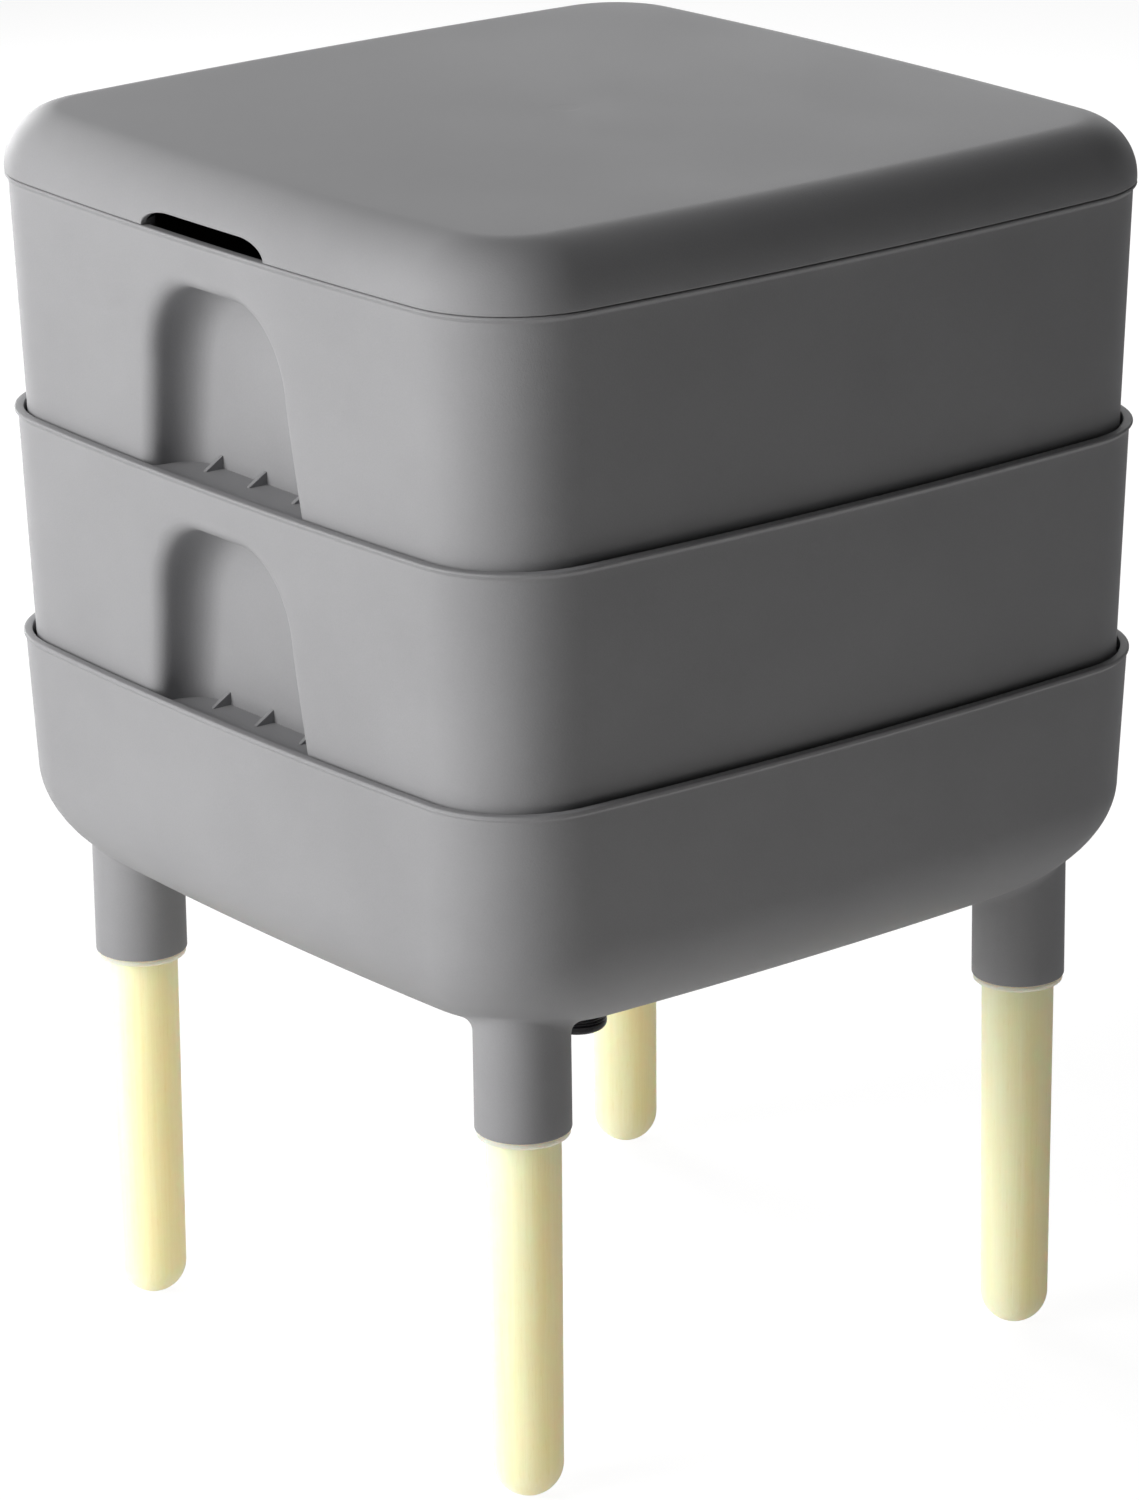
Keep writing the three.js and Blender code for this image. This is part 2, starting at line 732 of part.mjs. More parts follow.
// The tap's body: a flange inside the collector, a shank through the outlet and a barrel
// with grooves for the clip and the sealing ring, shut below by a wall with one port
function tapBody() {
  const clipLowZ = clipZ - gap;
  const clipHighZ = clipZ + clipThickness + gap;
  const ringLowZ = oRingZ - oRingRadius - gap;
  const ringHighZ = oRingZ + oRingRadius + gap;
  const ringFloor = shankRadius - 2 * oRingRadius + collarRunning;
  const body = turned([
    [0, barrelEndZ],
    [shankRadius - rimEdgeRadius, barrelEndZ],
    [shankRadius, barrelEndZ + rimEdgeRadius],
    [shankRadius, ringLowZ],
    [ringFloor, ringLowZ],
    [ringFloor, ringHighZ],
    [shankRadius, ringHighZ],
    [shankRadius, clipLowZ],
    [shankRadius - clipGrooveDepth, clipLowZ],
    [shankRadius - clipGrooveDepth, clipHighZ],
    [shankRadius, clipHighZ],
    [shankRadius, flangeZ],
    [flangeRadius, flangeZ],
    [flangeRadius, flangeZ + flangeThickness - rimEdgeRadius],
    [flangeRadius - rimEdgeRadius, flangeZ + flangeThickness],
    [tapBoreRadius, flangeZ + flangeThickness],
    [tapBoreRadius, barrelEndZ + endWall],
    [0, barrelEndZ + endWall],
  ], tapSteps);
  const from = barrelEndZ - overrun;
  return body.subtract(drum(portRadius, from, from + 2 * overrun, holeSteps, 0, portOffset));
}

// A flat ring between two heights
function flatRing(outerRadius, innerRadius, low, high) {
  return turned([
    [innerRadius, low],
    [outerRadius, low],
    [outerRadius, high],
    [innerRadius, high],
    [innerRadius, low],
  ], tapSteps);
}

// The six-sided lock nut under the collector
function lockNut() {
  const nut = drum(nutRadius, nutZ, nutZ + nutThickness, nutSides);
  const bore = drum(shankRadius + gap, nutZ - overrun, nutZ + nutThickness + overrun, tapSteps);
  return nut.subtract(bore);
}

// The turning collar: a ringed cup round the barrel, with its own port opposite the barrel's
function tapCollar() {
  const profile = [
    [0, collarFootZ],
    [collarRadius - collarEdge, collarFootZ],
    [collarRadius - collarEdge / 3, collarFootZ + collarEdge / 3],
    [collarRadius, collarFootZ + collarEdge],
  ];
  for (let i = 0; i < ringCount; i++) {
    const z = collarFootZ + collarEdge + ringPitch * (i + 1);
    profile.push([collarRadius, z - ringGroove]);
    profile.push([collarRadius - ringGroove, z]);
    profile.push([collarRadius, z + ringGroove]);
  }
  const clipRadius = shankRadius + clipStandOut + gap;
  profile.push([collarRadius, collarTopZ - rimEdgeRadius]);
  profile.push([collarRadius - rimEdgeRadius, collarTopZ]);
  profile.push([collarBoreRadius, collarTopZ]);
  profile.push([collarBoreRadius, clipZ + clipThickness + gap]);
  profile.push([clipRadius, clipZ + clipThickness + gap]);
  profile.push([clipRadius, clipZ - gap]);
  profile.push([collarBoreRadius, clipZ - gap]);
  profile.push([collarBoreRadius, collarFootZ + collarFloor]);
  profile.push([0, collarFootZ + collarFloor]);
  const cup = turned(profile, tapSteps);
  const from = collarFootZ - overrun;
  return cup.subtract(drum(portRadius, from, from + 2 * overrun, holeSteps, 0, -portOffset));
}

// The split clip that sits in the barrel's groove and holds the collar up
function retainingClip() {
  const innerRadius = shankRadius - clipGrooveDepth + gap;
  const ring = flatRing(shankRadius + clipStandOut, innerRadius, clipZ, clipZ + clipThickness);
  const box = new THREE.BoxGeometry(clipSplit, collarRadius, collarRadius);
  box.translate(0, innerRadius + collarRadius / 2 - gap, clipZ);
  return ring.subtract(solidOf(box));
}

// The sealing ring between the barrel and the collar
function sealingRing() {
  const middle = shankRadius + collarRunning - oRingRadius - gap / 2;
  const profile = [];
  const sides = 6;
  for (let i = 0; i <= sides; i++) {
    const angle = (wholeTurn * i) / sides;
    const radius = oRingRadius - gap / 2;
    profile.push([middle + radius * Math.cos(angle), oRingZ + radius * Math.sin(angle)]);
  }
  return turned(profile, tapSteps);
}

// The rubber disc between the barrel's end and the collar's floor
function sealDisc() {
  const disc = drum(shankRadius - rimEdgeRadius, sealDiscZ, sealDiscZ + sealDiscThickness, tapSteps);
  const from = sealDiscZ - overrun;
  return disc.subtract(drum(portRadius, from, from + 2 * overrun, holeSteps, 0, portOffset));
}

// The strainer that keeps bedding out of the tap
function drainStrainer() {
  const low = flangeZ + flangeThickness + gap;
  const skirtRadius = tapBoreRadius - gap;
  const plate = turned([
    [0, low],
    [skirtRadius - strainerSkirtWall, low],
    [skirtRadius - strainerSkirtWall, low - strainerSkirt],
    [skirtRadius, low - strainerSkirt],
    [skirtRadius, low],
    [strainerRadius, low],
    [strainerRadius, low + strainerThickness - rimEdgeRadius],
    [strainerRadius - rimEdgeRadius, low + strainerThickness],
    [0, low + strainerThickness],
  ], tapSteps);
  const holes = [];
  for (let i = 0; i < strainerHoles; i++) {
    const angle = (wholeTurn * i) / strainerHoles;
    const x = strainerHoleCircle * Math.cos(angle);
    const y = strainerHoleCircle * Math.sin(angle);
    holes.push(drum(strainerHoleRadius, low - overrun / 2, low + overrun, holeSteps, x, y));
  }
  return plate.subtract(wasm.Manifold.union(holes));
}

function finish(color, roughness, metalness = 0) {
  return new THREE.MeshStandardMaterial({ color, roughness, metalness });
}

function piece(name, solid, material, z = 0) {
  const mesh = new THREE.Mesh(geometryOf(solid), material);
  mesh.name = name;
  mesh.position.z = z;
  return mesh;
}

const wormery = new THREE.Group();
const tray = workingTray();
wormery.add(piece("lid", lid(), finish(greyPlastic, 0.55)));
wormery.add(piece("moisture_mat", moistureMat(), finish(jute, 0.95)));
wormery.add(piece("upper_tray", tray, finish(greyPlastic, 0.55), upperRimZ - trayHeight));
wormery.add(piece("middle_tray", tray, finish(greyPlastic, 0.55), middleRimZ - trayHeight));
wormery.add(piece("base_tray", baseTray(), finish(greyPlastic, 0.55)));

const leg = turnedLeg();
for (const place of legPlaces) {
  const mesh = piece(place.name, leg, finish(paleWood, 0.6));
  mesh.position.set(place.x, place.y, 0);
  wormery.add(mesh);
}

const tap = new THREE.Group();
const washerBore = shankRadius + gap;
const innerWasher = flatRing(washerRadius, washerBore, innerWasherZ, innerWasherZ + washerThickness);
const outerWasher = flatRing(washerRadius, washerBore, outerWasherZ, outerWasherZ + washerThickness);
tap.add(piece("tap_body", tapBody(), finish(blackPlastic, 0.4)));
tap.add(piece("tap_inner_washer", innerWasher, finish(blackRubber, 0.8)));
tap.add(piece("tap_outer_washer", outerWasher, finish(blackRubber, 0.8)));
tap.add(piece("tap_lock_nut", lockNut(), finish(blackPlastic, 0.45)));
tap.add(piece("tap_collar", tapCollar(), finish(blackPlastic, 0.4)));
tap.add(piece("tap_retaining_clip", retainingClip(), finish(steel, 0.35, 1)));
tap.add(piece("tap_sealing_ring", sealingRing(), finish(blackRubber, 0.8)));
tap.add(piece("tap_seal_disc", sealDisc(), finish(blackRubber, 0.8)));
tap.add(piece("drain_strainer", drainStrainer(), finish(blackPlastic, 0.5)));
wormery.add(tap);

export default wormery;
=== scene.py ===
from math import acos, asin, cos, pi, radians, sin, tan

import bmesh
import bpy
import numpy as np
from mathutils import Matrix, Vector
from mathutils.geometry import delaunay_2d_cdt


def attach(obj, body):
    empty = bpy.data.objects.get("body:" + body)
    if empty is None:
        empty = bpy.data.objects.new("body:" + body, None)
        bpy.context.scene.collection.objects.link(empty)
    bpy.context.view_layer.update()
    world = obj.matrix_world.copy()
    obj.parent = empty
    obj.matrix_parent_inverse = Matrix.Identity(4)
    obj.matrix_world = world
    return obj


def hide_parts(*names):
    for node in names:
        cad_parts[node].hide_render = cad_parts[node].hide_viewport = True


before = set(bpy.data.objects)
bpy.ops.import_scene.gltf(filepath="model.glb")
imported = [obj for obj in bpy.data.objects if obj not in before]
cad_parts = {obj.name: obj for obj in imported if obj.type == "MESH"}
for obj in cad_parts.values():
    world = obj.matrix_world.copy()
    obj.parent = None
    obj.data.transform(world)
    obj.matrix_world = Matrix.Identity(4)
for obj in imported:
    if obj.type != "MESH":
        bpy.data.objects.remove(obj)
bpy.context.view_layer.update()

# A wormery: a soft domed lid on two working trays, over a collector tray on four turned wooden
# legs, with a drain tap. Metres, +Z up, the floor at zero, finger recesses towards -Y and +Y.
print("frame loaded")


cameraCfg = {
    "place": (2.04112, -1.61217, 1.16142),
    "turn": 51.7367,       # degrees from looking along +Y towards looking along -X
    "rise": 18.898,        # degrees above the horizon
    "roll": -0.7685,
    "focalPixels": 6109.2, "longSidePixels": 1500, "sensor": 36, "nearest": 0.05, "furthest": 60,
}


def pick(cfg, names):
    # several settings of a dictionary at once, named in one text
    return [cfg[name] for name in names.split()]


def addObject(name, data):
    made = bpy.data.objects.new(name, data)
    bpy.context.scene.collection.objects.link(made)
    return made


def makeCamera(cfg):
    turn, rise, roll = map(radians, pick(cfg, "turn rise roll"))
    ahead = Vector((-sin(turn) * cos(rise), cos(turn) * cos(rise), -sin(rise)))
    level = Vector((cos(turn), sin(turn), 0))
    upright = level.cross(ahead)
    right = cos(roll) * level + sin(roll) * upright
    up = cos(roll) * upright - sin(roll) * level
    data = bpy.data.cameras.new("camera")
    data.sensor_width = cfg["sensor"]
    data.lens = cfg["focalPixels"] * data.sensor_width / cfg["longSidePixels"]
    data.clip_start, data.clip_end = cfg["nearest"], cfg["furthest"]
    bpy.context.scene.camera = made = addObject("camera", data)
    turned = Matrix((right, up, -ahead)).transposed().to_4x4()
    made.matrix_world = Matrix.Translation(cfg["place"]) @ turned


makeCamera(cameraCfg)
print("camera placed")


def spots(*axes):
    # points from their x, y and z, each one a number or an array
    return np.stack(np.broadcast_arrays(*axes), -1)


def circleOf(steps, shift=0.0):
    # cosines and sines of even steps round a circle
    angle = (np.arange(steps) + shift) * 2 * pi / steps
    return np.cos(angle), np.sin(angle)


def sheetOf(points, closed=False, keep=None, flip=False):
    # a grid of points (rows, columns, 3) with its faces: a point, the next in its row, and the
    # two above them
    rows, cols = points.shape[:2]
    r, c = np.meshgrid(np.arange(rows - 1), np.arange(cols if closed else cols - 1), indexing="ij")
    beside = (c + 1) % cols
    quads = spots(r * cols + c, r * cols + beside, (r + 1) * cols + beside, (r + 1) * cols + c)
    quads = quads.reshape(-1, 4) if keep is None else quads[keep]
    return points.reshape(-1, 3), quads[:, ::-1] if flip else quads


def prismParts(rings, flip):
    # a closed sheet through the rings with a face on each end
    order = list(range(rings.shape[1]))
    first, last = (order, order[::-1]) if flip else (order[::-1], order)
    return [sheetOf(rings, closed=True, flip=flip), (rings[0], [first]), (rings[-1], [last])]


def quarterTurned(part, quarters):
    # x and y turned by whole quarter turns about the Z axis
    points, faces = part
    c, s = ((1, 0), (0, 1), (-1, 0), (0, -1))[quarters % 4]
    x, y, z = np.moveaxis(points, -1, 0)
    return spots(c * x - s * y, s * x + c * y, z), faces


mergeDistance = 2e-6       # points closer than this are one point


def makePiece(name, parts, material, body, nodes, sharpDegrees=32):
    # seams and poles are closed by merging equal points, and only true corners stay sharp
    faces, start = [], 0
    for points, polygons in parts:
        faces += (np.asarray(polygons) + start).tolist()
        start += len(points)
    mesh = bpy.data.meshes.new(name)
    mesh.from_pydata(np.concatenate([points for points, _ in parts]).tolist(), [], faces)
    work = bmesh.new()
    work.from_mesh(mesh)
    bmesh.ops.remove_doubles(work, verts=work.verts, dist=mergeDistance)
    bmesh.ops.dissolve_degenerate(work, dist=mergeDistance, edges=work.edges)
    work.to_mesh(mesh)
    work.free()
    mesh.shade_smooth()
    mesh.set_sharp_from_angle(angle=radians(sharpDegrees))
    mesh.materials.append(material)
    made = addObject(name, mesh)
    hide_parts(*nodes)
    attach(made, body)
    print(name, "made with", len(mesh.polygons), "faces")
    return made


def filleted(corners, steps=4):
    # a profile of (half width, height, radius) corners, each rounded by an arc that touches
    # both of its edges; radius zero keeps the corner
    places = np.array([corner[:2] for corner in corners], float)
    made = []
    for i, corner in enumerate(corners):
        radius = corner[2]
        if radius == 0 or i in (0, len(corners) - 1):
            made.append(places[i:i + 1])
            continue
        before, after = places[i - 1] - places[i], places[i + 1] - places[i]
        before, after = before / np.linalg.norm(before), after / np.linalg.norm(after)
        opening = acos(np.clip(before @ after, -1, 1)) / 2
        inward = (before + after) / np.linalg.norm(before + after)
        middle = places[i] + inward * radius / sin(opening)
        start = places[i] + before * radius / tan(opening) - middle
        end = places[i] + after * radius / tan(opening) - middle
        sweep = pi - 2 * opening
        t = np.linspace(0, 1, steps + 1)[:, None]
        arc = np.sin((1 - t) * sweep) * start + np.sin(t * sweep) * end
        made.append(middle + arc / sin(sweep))
    return np.concatenate(made)


outlineShape = {
    "width": 0.390,        # over the rims
    "sideBow": 2.348,      # radius of each bowed side
    "rimCorner": 0.0524,   # radius of each corner at the rims
}
rimHalf = outlineShape["width"] / 2


def cornerAt(half):
    # corner radius of the rim's outline moved in evenly to a half width
    return outlineShape["rimCorner"] - (rimHalf - np.asarray(half))


def arcsOf(half, corner):
    # the side is an arc of radius bow about a point at minus across, and the corner an arc
    # about (centre, centre); both meet at the angle turn of the side's arc
    bow = outlineShape["sideBow"] - (rimHalf - half)
    across = half - bow
    centre = (across + np.sqrt(2 * (bow - corner) ** 2 - across ** 2)) / 2
    return bow, across, centre, np.arctan2(centre, centre - across)


def stationsOf(xSide, ySide, cornerCount):
    # columns of an outline, anticlockwise from the +X side: for each the quarter turn, whether
    # it lies on a corner, and its share along that side or corner
    corner = np.arange(cornerCount) / cornerCount
    columns = []
    for quarter in range(4):
        columns += [(quarter, False, share) for share in (ySide if quarter % 2 else xSide)]
        columns += [(quarter, True, share) for share in corner]
    return [np.array(values) for values in zip(*columns)]


def ringsAt(half, corner, z, stations):
    # bowed rounded squares, one row of points for each half width, corner radius and height
    half, corner, z = np.broadcast_arrays(half, corner, z)
    if half.ndim == 1:
        half, corner, z = half[:, None], corner[:, None], z[:, None]
    quarter, onCorner, share = stations
    bow, across, centre, turn = arcsOf(half, corner)
    angle = np.where(onCorner, turn + (pi / 2 - 2 * turn) * share, turn * (2 * share - 1))
    x = np.where(onCorner, centre + corner * np.cos(angle), across + bow * np.cos(angle))
    y = np.where(onCorner, centre + corner * np.sin(angle), bow * np.sin(angle))
    c, s = np.cos(quarter * pi / 2).round(), np.sin(quarter * pi / 2).round()
    return spots(x * c - y * s, x * s + y * c, z)


def rimRings(half, z, stations):
    return ringsAt(half, cornerAt(half), z, stations)


def sharesAt(x, half):
    # shares along a side for places measured along it, at one half width
    bow, _, _, turn = arcsOf(half, cornerAt(half))
    return (np.arcsin(x / bow) / turn + 1) / 2


def sideEnd(half):
    # where the side's arc meets the corner's, measured along the side
    bow, _, _, turn = arcsOf(half, cornerAt(half))
    return bow * sin(turn)


def plateOf(ring, z, centres, radius, holeSteps, up):
    # a flat plate inside a ring with round holes, cut into triangles; those in a hole, whose
    # corners all lie within its radius and a small slack, are left out
    holes = (np.asarray(centres)[:, None] + spots(*circleOf(holeSteps)) * radius).reshape(-1, 2)
    flat = np.concatenate([ring[:, :2], holes])
    count = len(ring)
    edges = [(i, (i + 1) % count) for i in range(count)]
    for start in range(count, len(flat), holeSteps):
        edges += [(start + i, start + (i + 1) % holeSteps) for i in range(holeSteps)]
    nearness, slack = 1e-7, 1.001
    points, _, triangles, *_ = delaunay_2d_cdt([Vector(p) for p in flat], edges, [], 0, nearness)
    points = np.array([(p.x, p.y, z) for p in points])
    triangles = np.array(triangles)
    fromCentre = np.linalg.norm(points[triangles][:, :, None, :2] - np.asarray(centres), axis=-1)
    triangles = triangles[fromCentre.max(1).min(1) > radius * slack]
    a, b, c = np.moveaxis(points[triangles], 1, 0)
    area = (b - a)[:, 0] * (c - a)[:, 1] - (b - a)[:, 1] * (c - a)[:, 0]
    wrong = (area < 0) == up
    triangles[wrong] = triangles[wrong][:, ::-1]
    return points, triangles


def drilledFloor(lowRing, highRing, low, high, centres, radius, holeSteps):
    # both faces of a floor with round holes, and the holes' upright walls, facing their axes
    c, s = circleOf(holeSteps)
    ends = np.array([[low], [high]])
    parts = [
        plateOf(lowRing, low, centres, radius, holeSteps, up=False),
        plateOf(highRing, high, centres, radius, holeSteps, up=True),
    ]
    for x, y in centres:
        wall = spots(x + radius * c, y + radius * s, ends)
        parts.append(sheetOf(wall, closed=True, flip=True))
    return parts


def turnedSheet(profile, steps, x=0.0, y=0.0):
    # a profile of (radius, height) carried once round an upright axis
    radius, z = np.asarray(profile, float).T[:, :, None]
    c, s = circleOf(steps)
    return sheetOf(spots(x + radius * c, y + radius * s, z), closed=True)


def feed(tree, node, inputs):
    # inputs by name or number: another node's output is linked, and a value is set
    for key, value in inputs.items():
        if isinstance(value, bpy.types.NodeSocket):
            tree.links.new(value, node.inputs[key])
        else:
            node.inputs[key].default_value = value


def addNode(tree, kind, inputs, **settings):
    node = tree.nodes.new("ShaderNode" + kind)
    for key, value in settings.items():
        setattr(node, key, value)
    feed(tree, node, inputs)
    return node


def ramped(tree, source, low, high, lowTo=0.0, highTo=1.0):
    # a value rescaled from one range to another and held inside it
    ranges = {"From Min": low, "From Max": high, "To Min": lowTo, "To Max": highTo}
    return addNode(tree, "MapRange", {"Value": source, **ranges}).outputs["Result"]


def noiseAt(tree, place, scale, detail, rough=0.5, distortion=0.0, low=0.3, high=0.7):
    # noise stretched along each axis, with its middle values spread over zero to one
    stretched = addNode(tree, "Mapping", {"Vector": place, "Scale": scale}).outputs["Vector"]
    noise = addNode(tree, "TexNoise", {
        "Vector": stretched, "Scale": 1.0, "Detail": detail,
        "Roughness": rough, "Distortion": distortion,
    })
    return ramped(tree, noise.outputs["Fac"], low, high)


def added(tree, a, b, shareB):
    # a + b * shareB
    return addNode(tree, "Math", {0: b, 1: shareB, 2: a}, operation="MULTIPLY_ADD").outputs[0]


grainInTone, blotchInSheen = 0.55, 0.8     # shares of the weaker pattern in each mixture


def mouldGrainGroup():
    # fine spark texture of a mould, with slow blotches where the plastic flowed
    group = bpy.data.node_groups.new("mouldGrain", "ShaderNodeTree")
    for label, kind in (("Place", "Vector"), ("Grain", "Float"), ("Blotch", "Float")):
        group.interface.new_socket(label, in_out="INPUT", socket_type="NodeSocket" + kind)
    for label in ("Height", "Tone", "Sheen"):
        group.interface.new_socket(label, in_out="OUTPUT", socket_type="NodeSocketFloat")
    source = group.nodes.new("NodeGroupInput").outputs
    made = []
    for key, detail, rough in (("Grain", 3.0, 0.62), ("Blotch", 4.0, 0.5)):
        noise = addNode(group, "TexNoise", {
            "Vector": source["Place"], "Scale": source[key], "Detail": detail, "Roughness": rough,
        })
        made.append(ramped(group, noise.outputs["Fac"], 0.3, 0.7))
    speck, cloud = made
    feed(group, group.nodes.new("NodeGroupOutput"), {
        "Height": speck,
        "Tone": added(group, cloud, speck, grainInTone),
        "Sheen": added(group, speck, cloud, blotchInSheen),
    })
    return group


mouldGrain = mouldGrainGroup()


def newMaterial(name):
    material = bpy.data.materials.new(name)
    material.use_nodes = True
    tree = material.node_tree
    place = tree.nodes.new("ShaderNodeTexCoord").outputs["Object"]
    return material, tree, tree.nodes["Principled BSDF"], place


def plainRgba(hexText):
    # a colour written as on a web page, as linear light
    values = [int(hexText[i:i + 2], 16) / 255 for i in (0, 2, 4)]
    return (*(v / 12.92 if v <= 0.04045 else ((v + 0.055) / 1.055) ** 2.4 for v in values), 1)


def colourBetween(tree, factor, dark, light):
    # inputs 6 and 7 are the mix's two colours, and output 2 is their blend
    inputs = {0: factor, 6: plainRgba(dark), 7: plainRgba(light)}
    return addNode(tree, "Mix", inputs, data_type="RGBA").outputs[2]


def bumpOf(tree, height, strength, distance):
    inputs = {"Height": height, "Strength": strength, "Distance": distance}
    return addNode(tree, "Bump", inputs).outputs["Normal"]


def mouldedPlastic(name, dark, light, grain, blotch, roughLow, roughHigh, bump, specular):
    material, tree, shader, place = newMaterial(name)
    made = addNode(tree, "Group", {}, node_tree=mouldGrain)
    feed(tree, made, {"Place": place, "Grain": grain, "Blotch": blotch})
    tone = ramped(tree, made.outputs["Tone"], 0, 1 + grainInTone)
    feed(tree, shader, {
        "Base Color": colourBetween(tree, tone, dark, light),
        "Roughness": ramped(tree, made.outputs["Sheen"], 0, 1 + blotchInSheen, roughLow, roughHigh),
        "Specular IOR Level": specular,
        "Normal": bumpOf(tree, made.outputs["Height"], 1.0, bump),
    })
    return material


def turnedWood():
    # pale beech: long soft growth bands, fine fibre and short darker rays along the leg, with
    # light scattered through it
    material, tree, shader, place = newMaterial("paleBeech")
    bands = noiseAt(tree, place, (60, 60, 3), 3, 0.5, 0.6)
    fibre = noiseAt(tree, place, (700, 700, 18), 4, 0.6, low=0.35)
    rays = noiseAt(tree, place, (900, 900, 120), 2, low=0.6, high=0.75)
    tone = added(tree, added(tree, bands, fibre, 0.5), rays, -0.45)
    feed(tree, shader, {
        "Base Color": colourBetween(tree, ramped(tree, tone, 0, 1.5), "f8ecbe", "fff7d6"),
        "Roughness": ramped(tree, fibre, 0, 1, 0.42, 0.55),
        "Specular IOR Level": 0.25,
        "Subsurface Weight": 1.0,
        "Subsurface Radius": (1.0, 0.6, 0.45),
        "Subsurface Scale": 0.04,
        "Normal": bumpOf(tree, added(tree, fibre, rays, -0.6), 0.6, 0.00012),
    })
    return material


def juteFelt():
    # crossing fibres pressed flat
    material, tree, shader, place = newMaterial("juteFelt")
    along, acrossIt = (
        noiseAt(tree, place, scale, 5, 0.65, 1.2) for scale in ((70, 900, 300), (900, 70, 300)))
    clump = noiseAt(tree, place, (60, 60, 60), 3)
    fibre = added(tree, along, acrossIt, 1.0)
    tone = ramped(tree, added(tree, fibre, clump, 0.6), 0.3, 2.2)
    feed(tree, shader, {
        "Base Color": colourBetween(tree, tone, "6d5432", "c6a878"),
        "Roughness": ramped(tree, clump, 0, 1, 0.85, 0.98),
        "Normal": bumpOf(tree, fibre, 0.9, 0.0006),
    })
    return material


def springSteel():
    material, tree, shader, place = newMaterial("springSteel")
    brushed = noiseAt(tree, place, (2500, 2500, 200), 3)
    feed(tree, shader, {
        "Base Color": colourBetween(tree, brushed, "a9abae", "c9cbcd"),
        "Roughness": ramped(tree, brushed, 0, 1, 0.28, 0.42),
        "Metallic": 1,
        "Normal": bumpOf(tree, brushed, 0.4, 0.00002),
    })
    return material


greyPlastic = mouldedPlastic("greyPlastic", "88888a", "919193", 1300, 14, 0.50, 0.62, 0.00003, 0.12)
blackPlastic = mouldedPlastic("blackPlastic", "100f13", "17161a", 900, 40, 0.24, 0.36, 0.00003, 0.25)
blackRubber = mouldedPlastic("blackRubber", "101010", "191919", 700, 60, 0.70, 0.85, 0.00005, 0.2)
paleBeech = turnedWood()
jute = juteFelt()
steel = springSteel()
print("materials made")


trayCfg = {
    "height": 0.1241, "wall": 0.0026, "floor": 0.0026, "nestClearance": 0.00215,
    "bead": 0.00165, "beadHeight": 0.0019, "beadRound": 0.0018, "beadFoot": 0.0005,
    "rimEdge": 0.0007, "rimInnerEdge": 0.0003, "rimStep": 0.002,
    "footRadius": 0.003, "innerFootRadius": 0.002,
    "holeRadius": 0.004, "holePitch": 0.044, "holesAcross": 6, "holeSteps": 20,
    "sideColumns": 14, "cornerColumns": 16, "outerColumns": 4,
    "feet": {"middle": 0.30615, "upper": 0.41315},
}
recessCfg = {
    "topDrop": 0.0232, "skirt": 0.0145, "footHalf": 0.0535, "shoulderHalf": 0.0468,
    "crownHalf": 0.015, "riseShare": 0.427,
    "flare": 1.1,          # how late the sides spread towards their feet
    "backInset": 0.0299, "edgeRadius": 0.0075, "backRadius": 0.0155,
    "levelOver": 0.015,    # height over the feet in which the outward direction turns level
    "sinkOver": 0.02,      # height over the feet in which the inner face's arch sinks
    "windowHalf": 0.085, "windowTop": 0.1155, "rows": 36, "columns": 40, "lead": 6,
    "sideSamples": 240, "topSamples": 40,
    "gussetPitch": 0.032, "gussetReach": 0.0093, "gussetHeight": 0.0056,
    "gussetThickness": 0.002, "gussetRoot": 0.001, "gussetEdge": 0.0003, "gussetEnd": 0.93,
}
stopCfg = {
    "halfX": 0.013, "outerInset": 0.008, "innerInset": 0.021, "root": 0.0006,
    "nestDrop": 0.0174, "corner": 0.0025, "edge": 0.0006, "around": 40,
}
wallHalf = rimHalf - trayCfg["bead"]
innerHalf = wallHalf - trayCfg["wall"]
footHalf = innerHalf - trayCfg["nestClearance"]
draft = (wallHalf - footHalf) / (trayCfg["height"] - trayCfg["beadHeight"])


def outerHalfAt(height):
    return footHalf + height * draft


def innerHalfAt(height):
    foot = footHalf - trayCfg["wall"]
    return foot + height * (innerHalf - foot) / trayCfg["height"]


def wallYAt(x, height, halfAt):
    # y of the front wall's bowed face over a place and height
    half = halfAt(height)
    bow = outlineShape["sideBow"] - (rimHalf - half)
    return -(half - bow + np.sqrt(bow ** 2 - x ** 2))


